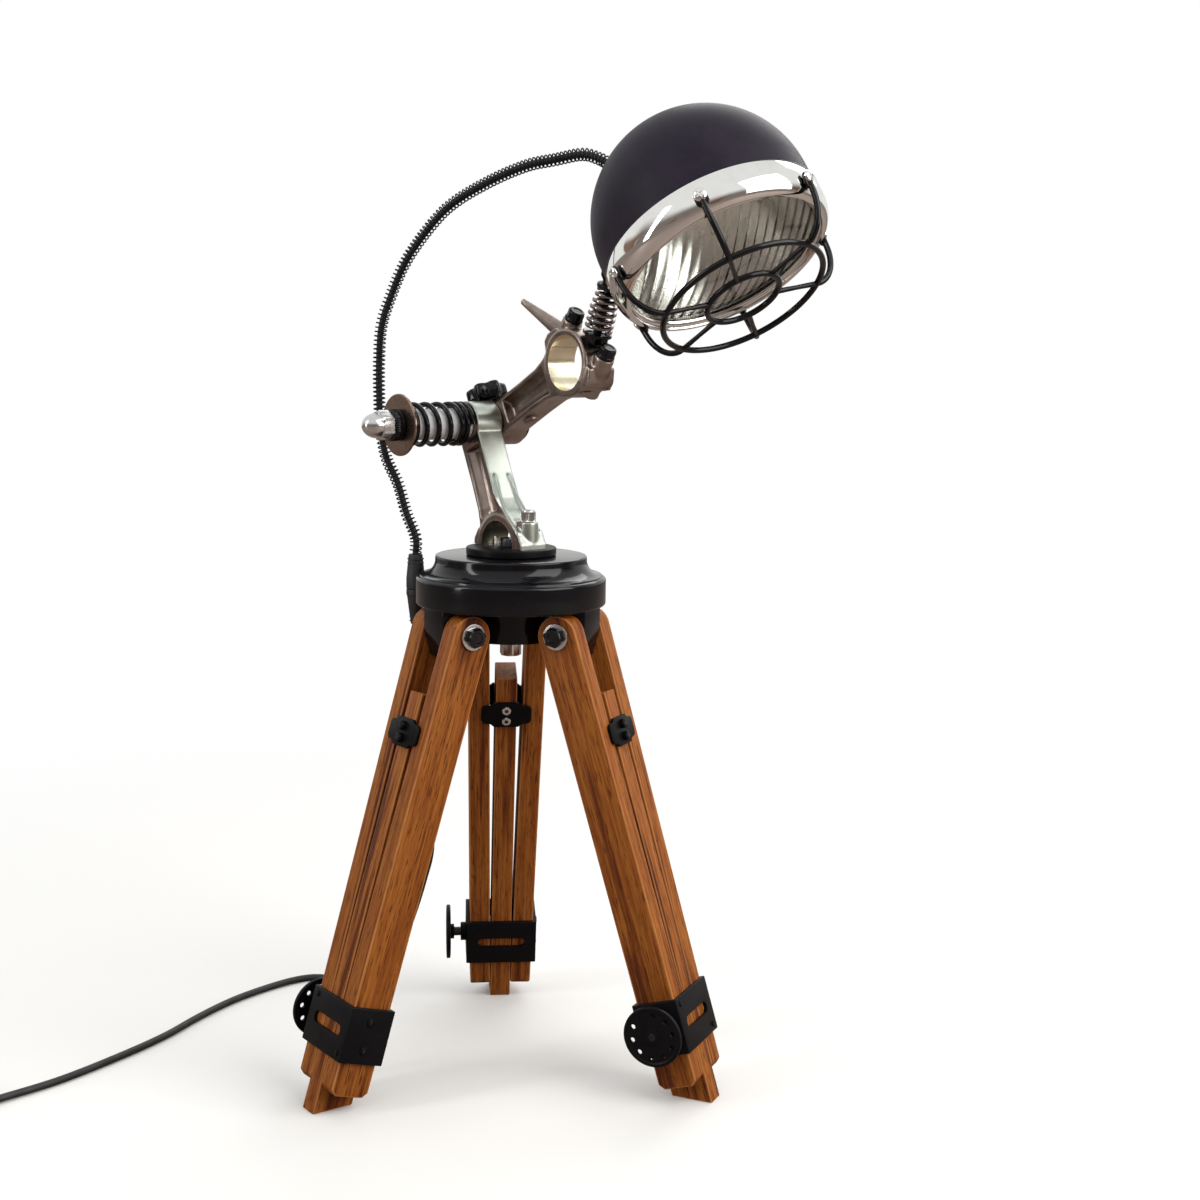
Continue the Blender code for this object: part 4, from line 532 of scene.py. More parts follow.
def joined(parts):
    points, faces, start = [], [], 0
    for some, loops in parts:
        points.append(np.asarray(some))
        faces += [[start + i for i in loop] for loop in loops]
        start += len(some)
    return np.concatenate(points), faces


def shaped(part, cuts=(), voxel=0.0, smoothing=0):
    # The parts, melted into one casting if a voxel size is given, then cut.
    obj = linked("work", meshOf(part))
    helpers = [obj]
    if voxel:
        melt = obj.modifiers.new("melt", "REMESH")
        melt.mode = "VOXEL"
        melt.voxel_size = voxel
        soften = obj.modifiers.new("soften", "SMOOTH")
        soften.factor = 0.5
        soften.iterations = smoothing
    for cutter in cuts:
        helpers.append(linked("cutter", meshOf(cutter)))
        modifier = obj.modifiers.new("cut", "BOOLEAN")
        modifier.operation = "DIFFERENCE"
        modifier.solver = "EXACT"
        modifier.object = helpers[-1]
    graph = bpy.context.evaluated_depsgraph_get()
    mesh = bpy.data.meshes.new_from_object(obj.evaluated_get(graph))
    for helper in helpers:
        bpy.data.objects.remove(helper, do_unlink=True)
    return partOf(mesh)


def finePiece(name, parts, place, body, nodes, sharp=32.0, grainShift=None):
    # parts is a list of (mesh, material), or of (mesh, material, place within the piece).
    groups, finishes, index = [], [], []
    for entry in parts:
        part, finish = entry[:2]
        if len(entry) > 2:
            part = moved(part, entry[2])
        if finish not in finishes:
            finishes.append(finish)
        groups.append(part)
        index += [finishes.index(finish)] * len(part[1])
    mesh = meshOf(joined(groups), name)
    for finish in finishes:
        mesh.materials.append(finish)
    mesh.polygons.foreach_set("material_index", index)
    if grainShift is not None:
        grain = mesh.attributes.new("grainSpace", "FLOAT_VECTOR", "POINT")
        local = np.array([tuple(vert.co) for vert in mesh.vertices]) + np.array(grainShift)
        grain.data.foreach_set("vector", local.astype(np.float32).ravel())
        across = np.array([abs(face.normal.y) for face in mesh.polygons])
        eased = mesh.attributes.new("easedEdge", "FLOAT", "FACE")
        eased.data.foreach_set("value", ((across > 0.1) & (across < 0.97)).astype(np.float32))
    mesh.transform(place)
    mesh.shade_smooth()
    mesh.set_sharp_from_angle(angle=math.radians(sharp))
    obj = linked(name, mesh)
    if body:
        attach(obj, body)
    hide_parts(*nodes)
    return obj


def smoothPath(points, count):
    # Evenly spaced points on a smooth curve through the given ones.
    given = [Vector(point) for point in points]
    padded = [2 * given[0] - given[1]] + given + [2 * given[-1] - given[-2]]
    between, fine = 12, []
    for a, b, c, d in zip(padded, padded[1:], padded[2:], padded[3:]):
        for k in range(between):
            t = k / between
            fine.append(0.5 * (2 * b + (c - a) * t + (2 * a - 5 * b + 4 * c - d) * t ** 2
                               + (3 * b - a - 3 * c + d) * t ** 3))
    fine = np.array([tuple(point) for point in fine + [given[-1]]])
    lengths = np.concatenate(([0], np.cumsum(np.linalg.norm(np.diff(fine, axis=0), axis=1))))
    even = np.linspace(0, lengths[-1], count)
    return np.column_stack([np.interp(even, lengths, fine[:, k]) for k in range(3)])


# Mains cord: down from the coupler, over the table and into a tied coil beside the lamp.
mainsCord = {
    "radius": 0.0027,
    "length": 1.80,
    "couplerReach": 0.0773,
    "couplerAngle": 155.0,
    "exitHeight": 0.3327,
    "coilCentre": (-0.4250, -0.0550),
    "coilRadius": 0.0310,
    "coilStep": 0.0068,
    "coilTurns": 2.25,
    "coilPerTurn": 36,
    "coilStart": 313.0,
    "coilLayer": 0.00615,
    "coilHeight": 0.0045,
    "tail": 0.0450,
    "plugLevel": 0.0070,
    "runPoints": 150,
    "clearance": 0.0001,
    "route": (
        (-0.0690, 0.0330, 0.3000), (-0.0650, 0.0345, 0.2500), (-0.0600, 0.0370, 0.2000),
        (-0.0585, 0.0400, 0.1580), (-0.0640, 0.0470, 0.1300), (-0.0740, 0.0640, 0.0920),
        (-0.0870, 0.0900, 0.0500), (-0.1010, 0.1200, 0.0190), (-0.1160, 0.1480, 0.0058),
        (-0.1330, 0.1720, 0.0029), (-0.1530, 0.1840, 0.0029), (-0.1740, 0.1780, 0.0029),
        (-0.2000, 0.1560, 0.0029), (-0.2230, 0.1300, 0.0029), (-0.2450, 0.0960, 0.0029),
        (-0.2660, 0.0580, 0.0029), (-0.2950, 0.0180, 0.0029), (-0.3310, -0.0240, 0.0029),
        (-0.3670, -0.0560, 0.0035),
    ),
}
couplerAngle = math.radians(mainsCord["couplerAngle"])
couplerAt = Vector((math.cos(couplerAngle), math.sin(couplerAngle), 0)) * mainsCord["couplerReach"]


def coilPath(spec):
    # One layer wound inwards and a second one outwards on top of it.
    perTurn = spec["coilPerTurn"]
    inner = spec["coilRadius"] - spec["coilStep"] * spec["coilTurns"] / 2
    winding = int(spec["coilTurns"] * perTurn)
    climb = perTurn // 2
    points = []
    for i in range(2 * winding + climb + 1):
        inwards = max(0, winding - i) / perTurn
        outwards = max(0, i - winding - climb) / perTurn
        radius = inner + spec["coilStep"] * (inwards + outwards)
        lift = min(1, max(0, (i - winding) / climb))
        angle = math.radians(spec["coilStart"]) - 2 * math.pi * i / perTurn
        points.append((
            spec["coilCentre"][0] + radius * math.cos(angle),
            spec["coilCentre"][1] + radius * math.sin(angle),
            spec["coilHeight"] + spec["coilLayer"] * lift,
        ))
    return np.array(points)


def makeMainsCord(spec):
    start = Vector((couplerAt.x, couplerAt.y, spec["exitHeight"]))
    coil = coilPath(spec)
    lead = 4 * spec["radius"]                # straight cord before a change of form
    into = Vector(coil[1] - coil[0]).normalized()
    route = [start, start - Vector((0, 0, lead))] + list(spec["route"])
    route += [Vector(coil[0]) - into * lead, Vector(coil[0])]
    run = smoothPath(route, spec["runPoints"])
    leave = Vector(coil[-1] - coil[-2])
    leave = Vector((leave.x, leave.y, 0)).normalized()
    tail = []
    for share in np.linspace(0.1, 1, 10):
        eased = share * share * (3 - 2 * share)
        level = coil[-1][2] + (spec["plugLevel"] - coil[-1][2]) * eased
        place = Vector(coil[-1]) + leave * spec["tail"] * share
        tail.append((place.x, place.y, level))
    end = Vector(tail[-1]) + leave * (2 * spec["radius"] + gap)
    path = np.concatenate((run[:-1], coil, tail, [tuple(end)]))
    path[:, 2] = np.maximum(path[:, 2], spec["radius"] + spec["clearance"])
    path = path + np.array(axes["tripod"])
    cord = finePiece(
        "mainsCord", [(sweep(path, spec["radius"], 14), rubber)], Matrix(), "tripod_base",
        ["mains_cord", "cord_coil"],
    )
    return cord, path, tripod @ end, math.degrees(math.atan2(leave.y, leave.x))


plugSpec = {
    "half": 0.0130, "depth": 0.0070, "length": 0.0340, "neck": 0.0043, "shoulder": 0.0130, "easing": 0.0022,
    "ribs": 5, "rib": (0.0012, 0.0134, 0.0180, 0.0004), "firstRib": 0.0165, "ribStep": 0.0026,
    "pinSide": 0.0095, "pinSunk": 0.0010, "sleeve": (0.0021, 0.0100, 0.0003), "pin": (0.0020, 0.0199, 0.0009),
}


def makePlug(spec, start, heading):
    # A plain round-pin plug: a moulded grip with ribs, and two pins with sleeves.
    half, length, neck, shoulder = spec["half"], spec["length"], spec["neck"], spec["shoulder"]
    outline = [(0, -neck), (shoulder, -half), (length, -half), (length, half), (shoulder, half), (0, neck)]
    flat = swing(90, "X")
    parts = [(prism(outline, 2 * spec["depth"], spec["easing"], 4), rubber, flat)]
    for i in range(spec["ribs"]):
        place = shift(spec["firstRib"] + spec["ribStep"] * i, 0, 0) @ flat
        parts.append((slab(*spec["rib"]), rubber, place))
    for side in (-1, 1):
        place = shift(length - spec["pinSunk"], side * spec["pinSide"], 0) @ swing(90, "Y")
        parts += [(drum(*spec["sleeve"], 24), rubber, place), (drum(*spec["pin"], 24), zinc, place)]
    place = Matrix.Translation(start) @ swing(heading, "Z")
    return finePiece("mouldedPlug", parts, place, "tripod_base", ["plug"])


tieSpec = {"angle": 150.0, "wall": 0.0012, "corner": 0.0033, "thread": 0.0006, "half": 0.0029, "threads": 7}


def makeTie(spec, coil):
    # A strap of side-by-side threads round both layers of the coil.
    angle = math.radians(spec["angle"])
    wide = coil["coilStep"] * coil["coilTurns"] / 2 + coil["radius"] + 2 * gap + spec["wall"]
    high = (coil["coilLayer"] + 2 * coil["radius"]) / 2 + gap + spec["wall"]
    inset = spec["corner"] + spec["thread"]
    outline = []
    for x, z, start in ((1, 1, 0), (-1, 1, 90), (-1, -1, 180), (1, -1, 270)):
        outline += arc(x * (wide - inset), z * (high - inset), spec["corner"], start, start + 90, 8)
    outline.append(outline[0])
    thread = sweep([(x, 0, z) for x, z in outline], spec["thread"], 8)
    levels = np.linspace(-spec["half"], spec["half"], spec["threads"])
    centre = shift(
        coil["coilCentre"][0] + coil["coilRadius"] * math.cos(angle),
        coil["coilCentre"][1] + coil["coilRadius"] * math.sin(angle),
        coil["coilHeight"] + coil["coilLayer"] / 2,
    )
    return finePiece("cordTie", [(thread, rubber, shift(0, y, 0)) for y in levels],
                     tripod @ centre @ swing(spec["angle"], "Z"), "tripod_base", ["cord_tie"])


mainsPiece, mainsPath, plugAt, plugHeading = makeMainsCord(mainsCord)
plugPiece = makePlug(plugSpec, plugAt, plugHeading)
tiePiece = makeTie(tieSpec, mainsCord)
print("mains cord laid")


# Lead from the lamp to the coupler, in a close wound wire guard, cut where it passes each joint.
lead = {
    "radius": 0.0024,
    "guardRadius": 0.0042,
    "wireRadius": 0.00058,
    "turns": 132,
    "perTurn": 12,
    "corePoints": 181,
    "coreSides": 12,
    "wireSides": 6,
    "glandDirection": (-0.66, 0.60, 0.45),
    "glandLength": 0.0120,
    "couplerTop": 0.3863,
    "splits": (0.34, 0.66),
    "route": (
        (0.0460, -0.0400, 0.6745), (0.0270, -0.0280, 0.6715), (0.0080, -0.0160, 0.6680),
        (-0.0170, 0.0000, 0.6580), (-0.0430, 0.0160, 0.6430), (-0.0600, 0.0270, 0.6260),
        (-0.0770, 0.0380, 0.6020), (-0.0880, 0.0440, 0.5770), (-0.0950, 0.0480, 0.5550),
        (-0.0970, 0.0500, 0.5290), (-0.0970, 0.0500, 0.5020), (-0.0960, 0.0490, 0.4810),
        (-0.0920, 0.0460, 0.4580), (-0.0830, 0.0400, 0.4380), (-0.0770, 0.0360, 0.4170),
    ),
}
shellSpec = {"radius": 0.0760, "depth": 0.0903, "wall": 0.0015, "easing": 0.0008, "bite": 0.94, "neck": 0.76}


def glandPlace():
    outwards = lamp.to_3x3().inverted() @ Vector(lead["glandDirection"])
    turnBy = outwards.normalized().to_track_quat("Z", "X").to_matrix().to_4x4()
    centre = lamp @ shift(0, 0, shellSpec["radius"] - shellSpec["depth"])
    return centre @ turnBy @ shift(0, 0, shellSpec["radius"])


def guardTree(wireSides):
    # A wire wound round a curve: each point steps off the path by the coil's radius, turned a little more.
    tree = bpy.data.node_groups.new("wireGuard", "GeometryNodeTree")
    sockets = [("Path", "Geometry"), ("Coil radius", "Float"), ("Wire radius", "Float"), ("Points", "Int"),
               ("Points a turn", "Int"), ("Finish", "Material")]
    for label, kind in sockets:
        tree.interface.new_socket(label, in_out="INPUT", socket_type="NodeSocket" + kind)
    tree.interface.new_socket("Guard", in_out="OUTPUT", socket_type="NodeSocketGeometry")

    def node(kind, settings, values):
        made = tree.nodes.new(kind)
        for name, value in settings.items():
            setattr(made, name, value)
        for key, value in values.items():
            if isinstance(value, bpy.types.NodeSocket):
                tree.links.new(value, made.inputs[key])
            else:
                made.inputs[key].default_value = value
        return made.outputs

    def maths(operation, *values):
        return node("ShaderNodeMath", {"operation": operation}, dict(enumerate(values)))[0]

    def vectors(operation, **values):
        inputs = {"first": 0, "second": 1, "scale": "Scale"}
        named = {inputs[key]: value for key, value in values.items()}
        return node("ShaderNodeVectorMath", {"operation": operation}, named)[0]

    given = node("NodeGroupInput", {}, {})
    even = node("GeometryNodeResampleCurve", {}, {"Curve": given["Path"], "Count": given["Points"]})[0]
    share = maths("DIVIDE", node("GeometryNodeInputIndex", {}, {})[0], given["Points a turn"])
    angle = maths("MULTIPLY", share, 2 * math.pi)
    normal = node("GeometryNodeInputNormal", {}, {})[0]
    side = vectors("CROSS_PRODUCT", first=node("GeometryNodeInputTangent", {}, {})[0], second=normal)
    first = vectors("SCALE", first=normal, scale=maths("COSINE", angle))
    second = vectors("SCALE", first=side, scale=maths("SINE", angle))
    both = vectors("ADD", first=first, second=second)
    reach = vectors("SCALE", first=both, scale=given["Coil radius"])
    wound = node("GeometryNodeSetPosition", {}, {"Geometry": even, "Offset": reach})[0]
    profile = node("GeometryNodeCurvePrimitiveCircle", {},
                   {"Resolution": wireSides, "Radius": given["Wire radius"]})
    wire = node("GeometryNodeCurveToMesh", {},
                {"Curve": wound, "Profile Curve": profile[0], "Fill Caps": True})
    real = node("GeometryNodeRealizeInstances", {}, {"Geometry": wire[0]})
    painted = node("GeometryNodeSetMaterial", {}, {"Geometry": real[0], "Material": given["Finish"]})
    node("NodeGroupOutput", {}, {"Guard": painted[0]})
    return tree


def grown(tree, source, settings):
    # The tree's result on that object, as a plain mesh.
    modifier = source.modifiers.new("grow", "NODES")
    modifier.node_group = tree
    named = {item.name: item.identifier for item in tree.interface.items_tree if item.in_out == "INPUT"}
    for label, value in settings.items():
        modifier[named[label]] = value
    graph = bpy.context.evaluated_depsgraph_get()
    return bpy.data.meshes.new_from_object(source.evaluated_get(graph))


def curveObject(points):
    data = bpy.data.curves.new("path", "CURVE")
    data.dimensions = "3D"
    spline = data.splines.new("POLY")
    spline.points.add(len(points) - 1)
    for point, place in zip(spline.points, points):
        point.co = (*place, 1)
    return linked("path", data)


def makeLead(spec):
    # Straight for a short way at both ends, and bent with the joints between them.
    mouth = Vector((0, 0, spec["glandLength"] + 3 * gap))
    ahead = mouth + Vector((0, 0, 2 * spec["guardRadius"]))
    top = tripod @ Vector((couplerAt.x, couplerAt.y, spec["couplerTop"]))
    route = [glandPlace() @ mouth, glandPlace() @ ahead] + [tripod @ Vector(point) for point in spec["route"]]
    route += [top + Vector((0, 0, 3 * spec["guardRadius"])), top]
    core = smoothPath(route, spec["corePoints"])[::-1]        # from the coupler up to the lamp
    count = spec["turns"] * spec["perTurn"] + 1
    source = curveObject(core)
    wire = grown(guardTree(spec["wireSides"]), source, {
        "Coil radius": spec["guardRadius"], "Wire radius": spec["wireRadius"], "Points": count,
        "Points a turn": spec["perTurn"], "Finish": darkGuard,
    })
    bpy.data.objects.remove(source, do_unlink=True)
    coreTube = sweep(core, spec["radius"], spec["coreSides"])
    tubes = (
        ("leadCore", coreTube, spec["corePoints"], spec["coreSides"], "lead", rubber),
        ("wireGuard", partOf(wire), count, spec["wireSides"], "guard_coil", darkGuard),
    )
    stops = [0, *spec["splits"], 1]
    bodies = ["tripod_base", "turntable", "upper_arm", "lamp_head"]
    for i, (low, high) in enumerate(zip(stops, stops[1:])):
        for label, part, rings, sides, node, finish in tubes:
            piece = ringSlice(part, sides, round((rings - 1) * low), round((rings - 1) * high))
            made = finePiece(
                f"{label}{i + 1}", [(piece, finish)], Matrix(), None, [node], sharp=60.0,
            )
            bodies[i + 1]
            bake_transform(made)


glandSpec = {
    "profile": (
        (0, 0.0006), (0.0074, 0.0006), (0.0074, 0.0040), (0.0062, 0.0046), (0.0060, 0.0112), (0.0050, 0.0126),
        (0, 0.0126),
    ),
    "easing": 0.0005, "ribRadius": 0.0060, "rib": 0.0004, "ribLevels": (0.0060, 0.0078, 0.0096),
}


def makeGland(spec):
    parts = [(lathe(rounded(spec["profile"], spec["easing"]), 36), gloss)]
    parts += [(ring(spec["ribRadius"], spec["rib"], level, 36, 8), gloss) for level in spec["ribLevels"]]
    finePiece("leadGland", parts, glandPlace(), "lamp_head", ["lead_gland"])


coupler = {
    "radius": 0.0070, "topRadius": 0.0052, "top": 0.3860, "split": 0.3600, "bottom": 0.3330, "tail": 0.0036,
    "easing": 0.0006, "rib": 0.0005, "upperRibs": (0.0035, 0.0065, 0.0095), "lowerRibs": (0.0025, 0.0115, 4),
}


def makeCoupler(spec):
    # Two moulded halves, each with ribs where its lead comes out.
    place = tripod @ shift(couplerAt.x, couplerAt.y, 0)
    radius, tail = spec["radius"], spec["tail"]
    top, split, bottom = spec["top"], spec["split"], spec["bottom"]
    upper = [(0, top), (spec["topRadius"], top), (spec["topRadius"] + 0.0004, top - 0.004)]
    upper += [(radius, split + 0.008), (radius, split), (0, split)]
    ribs = [ring(radius - 0.0012, spec["rib"], top - down, 40, 8) for down in spec["upperRibs"]]
    lower = [(0, split - gap), (radius, split - gap), (radius, split - 0.0043)]
    lower += [(radius - 0.0006, split - 0.0060), (tail + 0.0009, bottom + 0.006), (tail, bottom), (0, bottom)]
    first, last, count = spec["lowerRibs"]
    lowRibs = [ring(tail + 0.0006, spec["rib"], bottom + up, 36, 8) for up in np.linspace(first, last, count)]
    for word, profile, rings in (("Upper", upper, ribs), ("Lower", lower, lowRibs)):
        parts = [(lathe(rounded(profile, spec["easing"]), 40), rubber)] + [(rib, rubber) for rib in rings]
        finePiece("coupler" + word, parts, place, "tripod_base", ["coupler_" + word.lower()])


makeLead(lead)
makeGland(glandSpec)
makeCoupler(coupler)
print("lead and coupler made")


# Turned tripod head, with three lugs under it for the legs. Heights are above the table.
turretSpec = {
    "flange": 0.0700, "flangeTop": 0.3712, "flangeHeight": 0.0180, "top": 0.3895, "topRadius": 0.0558,
    "core": 0.0355, "coreBottom": 0.3280, "bore": 0.0062, "shoulder": 0.0030, "topEdge": 0.0014,
    "flangeEdge": 0.0026, "flangeRise": 0.0004, "lowEdge": 0.0022,
    "lugWidth": 0.0270, "lugReach": 0.0665, "lugTip": 0.0610, "lugBottom": 0.3180, "lugBite": 0.0020,
}


def makeTurret(spec):
    bandBottom, shoulder, bore = spec["flangeTop"] - spec["flangeHeight"], spec["shoulder"], spec["bore"]
    centre = spec["flange"] - shoulder
    cove = arc(centre, spec["top"] - shoulder, centre - spec["topRadius"], 180, 270, 16)
    topEdge, edge, lowEdge = spec["topEdge"], spec["flangeEdge"], spec["lowEdge"]
    profile = [(bore, spec["top"])]
    profile += arc(spec["topRadius"] - topEdge, spec["top"] - topEdge, topEdge, 90, 0, 5)
    profile += [(r, max(z, spec["flangeTop"] + shoulder)) for r, z in cove if z < spec["top"] - shoulder]
    profile += arc(spec["flange"] - edge, spec["flangeTop"] + spec["flangeRise"], edge, 90, 0, 6)
    profile += arc(spec["flange"] - lowEdge, bandBottom + lowEdge, lowEdge, 0, -90, 6)
    profile += [(spec["core"], bandBottom), (spec["core"], spec["coreBottom"]), (bore, spec["coreBottom"])]
    bite, reach = spec["lugBite"], spec["lugReach"]
    outline = [(spec["core"] - 1.5 * bite, bandBottom + bite), (reach, bandBottom + bite)]
    outline += [(reach, axes["hingeHeight"]), (spec["lugTip"], spec["lugBottom"])]
    outline += [(axes["hingeRadius"], spec["lugBottom"]), (spec["core"] - bite, spec["coreBottom"])]
    lug = prism(outline, spec["lugWidth"], 0.0010, 3)
    parts = [(lathe(profile, 144, True), gloss)]
    parts += [(lug, gloss, swing(angle, "Z")) for angle in legAngles.values()]
    finePiece("turretHead", parts, tripod, "tripod_base", ["turret_head"], sharp=38.0)


plateSpec = {"radius": 0.0332, "thickness": 0.0057, "bore": 0.0062, "easing": 0.0011}
swivelSpec = {
    "across": 0.0165, "flatHeight": 0.0052, "headHeight": 0.0060, "crown": 0.0080, "shank": 0.0059,
    "shankLength": 0.0700, "headSunk": 0.0005, "nut": 0.0150, "nutFace": 0.0070, "nutEdge": 0.0012,
    "nutHeight": 0.0130, "nutAt": -0.0748,
}


def makeSwivel(spec, plate):
    bore, thick, radius = plate["bore"], plate["thickness"], plate["radius"]
    profile = rounded([(bore, thick), (radius, thick), (radius, 0), (bore, 0)], plate["easing"], 4)
    finePiece("swivelPlate", [(lathe(profile, 120, True), satin)], table @ shift(0, 0, gap), "turntable",
              ["swivel_plate"])
    level, top = thick + 2 * gap, thick + 2 * gap + spec["headHeight"]
    flats, nutFlats = hexagon(spec["across"]), hexagon(spec["nut"])
    shoulder = level + spec["flatHeight"]
    head = lathe([(0, level), (flats, level), (flats, shoulder), (spec["crown"], top), (0, top)], 48)
    shank = drum(spec["shank"], spec["shankLength"], 0.0004, 32)
    shankAt = shift(0, 0, level + spec["headSunk"] - spec["shankLength"])
    nut = lathe([(0, 0), (spec["nutFace"], 0), (nutFlats, spec["nutEdge"]), (nutFlats, spec["nutHeight"]),
                 (0, spec["nutHeight"])], 48)
    parts = [(head, darkSteel), (shank, darkSteel, shankAt), (nut, zinc, shift(0, 0, spec["nutAt"]))]
    finePiece("swivelBolt", parts, table, "turntable", ["swivel_bolt"])


makeTurret(turretSpec)
makeSwivel(swivelSpec, plateSpec)
print("tripod head made")


# Legs: two fixed outer slats, one sliding inner slat, guide plates, a clamp and its hand wheel.
legSpec = {
    "slat": (0.0300, 0.0163, 0.3370),     # depth, thickness, length
    "endChamfer": 0.0040,
    "innerTop": 0.0480,
    "easing": 0.0011,
    "knobSides": {"left": -1, "right": -1, "back": 1},
    "headSides": {"left": 1, "right": -1, "back": 1},
    "clampDrop": 0.2920,
    "clampHeight": 0.0400,
    "guideDrop": 0.0780,
}
slatDepth, slatThick, slatLength = legSpec["slat"]
hingeSlat = turretSpec["lugWidth"] / 2 + 2 * gap + slatThick / 2
splay = math.degrees(math.atan2(hingeSlat - slatThick - gap, slatLength))
clampTop = legSpec["clampDrop"] - legSpec["clampHeight"] / 2
clampHalf = hingeSlat + slatThick / 2 - clampTop * math.tan(math.radians(splay)) + gap


def makeSlats(name, place, number):
    # Each slat takes its grain from another part of the wood.
    half, cut = slatDepth / 2, legSpec["endChamfer"]
    outline = arc(0, 0, half, 0, 180, 24) + [(-half, cut - slatLength), (cut - half, -slatLength)]
    outline += [(half - cut, -slatLength), (half, cut - slatLength)]
    board = prism(outline, slatThick, legSpec["easing"], 3)
    for side, letter in ((1, "a"), (-1, "b")):
        where = place @ shift(0, side * hingeSlat, 0) @ swing(-side * splay, "X")
        seed = (0.13 * number, 0.37 * number + 0.071 * side, 0.9 * number + 0.45 * side)
        finePiece(f"{name}OuterSlat{letter.upper()}", [(board, wood)], where, f"{name}_leg",
                  [f"{name}_outer_slat_{letter}"], sharp=25.0, grainShift=seed)
    tilt, top = math.radians(legTilt), -legSpec["innerTop"]
    feet = [(x, -(axes["hingeHeight"] + x * math.sin(tilt)) / math.cos(tilt)) for x in (-half, half)]
    board = prism([(half, top), (-half, top)] + feet, slatThick, legSpec["easing"] * 0.8, 3)
    seed = (0.21 * number, 0.11 * number, 0.5 * number)
    finePiece(f"{name}InnerSlat", [(board, wood)], place, f"{name}_foot_slide", [f"{name}_inner_slat"],
              sharp=25.0, grainShift=seed)


hingeSpec = {
    "across": 0.0130, "height": 0.0055, "washer": 0.0095, "washerThick": 0.0016, "shank": 0.0040,
    "tip": 0.0080, "tipSunk": 0.0004,
}


def hexBolt(spec, washerFinish):
    # A hexagon head with a dished top, on its washer.
    across, height, level = spec["across"], spec["height"], spec["washerThick"]
    head = lathe([
        (0, level), (hexagon(across), level), (hexagon(across), level + height * 0.84),
        (across * 0.46, level + height), (across * 0.30, level + height),
        (across * 0.27, level + height * 0.86), (0, level + height * 0.86),
    ], 72)
    return [(head, darkSteel), (drum(spec["washer"], level, 0.0003, 56), washerFinish)]


def makeHingeBolt(name, place, spec):
    side = legSpec["headSides"][name]
    seat = hingeSlat + slatThick / 2 + 1.5 * gap
    shank = (drum(spec["shank"], 2 * seat, 0.0003, 24), darkSteel, shift(0, 0, -2 * seat))
    where = place @ shift(0, side * seat, 0) @ swing(-side * 90, "X")
    finePiece(f"{name}HingeBolt", hexBolt(spec, zinc) + [shank], where, f"{name}_leg",
              [f"{name}_hinge_bolt"])
    tip = (drum(spec["shank"], spec["tip"], 0.0008, 24), zinc, shift(0, 0, spec["tipSunk"]))
    where = place @ shift(0, -side * seat, 0) @ swing(side * 90, "X")
    finePiece(f"{name}HingeNut", hexBolt(spec, darkSteel) + [tip], where, f"{name}_leg",
              [f"{name}_hinge_nut"])


guideSpec = {
    "wing": (0.0195, 0.0075), "middle": (0.0095, 0.0105), "corner": 0.0030, "taper": 0.0004,
    "thickness": 0.0025, "boltAt": 0.0046, "bolt": (0.0035, 0.0043, 0.0009),
    "dimple": (0.0013, 0.0030, 0.0044), "shank": 0.0019,
    "nut": ((0.0015, 0), (0.0034, 0), (0.0034, 0.0020), (0.0028, 0.0024), (0.0015, 0.0024)),
    "nutTip": (0.0017, 0.0021, 0.0002), "headSunk": 0.0020, "nutSunk": 0.0024, "overrun": 0.0020,
}


def makeGuides(name, place, spec):
    # Two plates across the slats, bolted through the inner one.
    (wide, low), (middle, high), corner = spec["wing"], spec["middle"], spec["corner"]
    quarter = [(wide, low - corner), (wide - corner * 0.3, low - corner * 0.3), (wide - corner, low)]
    quarter += [(middle + high - low, low + spec["taper"]), (middle, high)]
    right = [(x, -z) for x, z in reversed(quarter)] + quarter
    plate = moved(prism(right + [(-x, -z) for x, z in right], spec["thickness"], 0.0005, 2), swing(90, "Z"))
    seat = slatDepth / 2 + gap
    radius, headHigh, easing = spec["bolt"]
    bolt = lathe(rounded([(0, headHigh), (radius, headHigh), (radius, 0), (0, 0)], easing, 4), 32)
    hollow, deep, top = spec["dimple"]
    dimple = lathe([(0, deep), (hollow, deep), (hollow, top), (0, top)], 20)
    nut, nutTip = lathe(spec["nut"], 32, True), drum(*spec["nutTip"], 20)
    over = spec["overrun"]
    shank = drum(spec["shank"], 2 * (seat + over), 0.0002, 16)
    parts = []
    for side in (-1, 1):
        level = side * spec["boltAt"]
        outwards = shift(seat + spec["headSunk"], 0, level) @ swing(90, "Y")
        inwards = shift(-seat - spec["nutSunk"], 0, level) @ swing(-90, "Y")
        parts += [
            (plate, satin, shift(side * (seat + spec["thickness"] / 2), 0, 0)), (bolt, satin, outwards),
            (dimple, darkSteel, outwards), (nut, zinc, inwards), (nutTip, darkSteel, inwards),
            (shank, darkSteel, shift(-seat - over, 0, level) @ swing(90, "Y")),
        ]
    finePiece(f"{name}GuidePlates", parts, place @ shift(0, 0, -legSpec["guideDrop"]), f"{name}_foot_slide",
              [f"{name}_guide_plates"])


clampSpec = {
    "wall": 0.0025, "easing": 0.0007, "slotHalf": 0.01505, "slotRadius": 0.00425, "overrun": 0.0020,
    "nut": (0.0038, 0.0075, 0.0049, 0.0007), "nutSunk": 0.0004, "rivetSpacing": 0.01025,
    "rivet": (
        (0.0016, 0.0004), (0.0016, 0.0014), (0.0026, 0.0012), (0.0032, 0.0006), (0.0032, -0.0006),
        (0, -0.0006),
    ),
    "socket": (0.0017, 0.0009, 0.0001), "pin": (0.0021, 0.0012, 0.0003), "pinInset": 0.0040,
    "pinHeight": 0.0150,
}


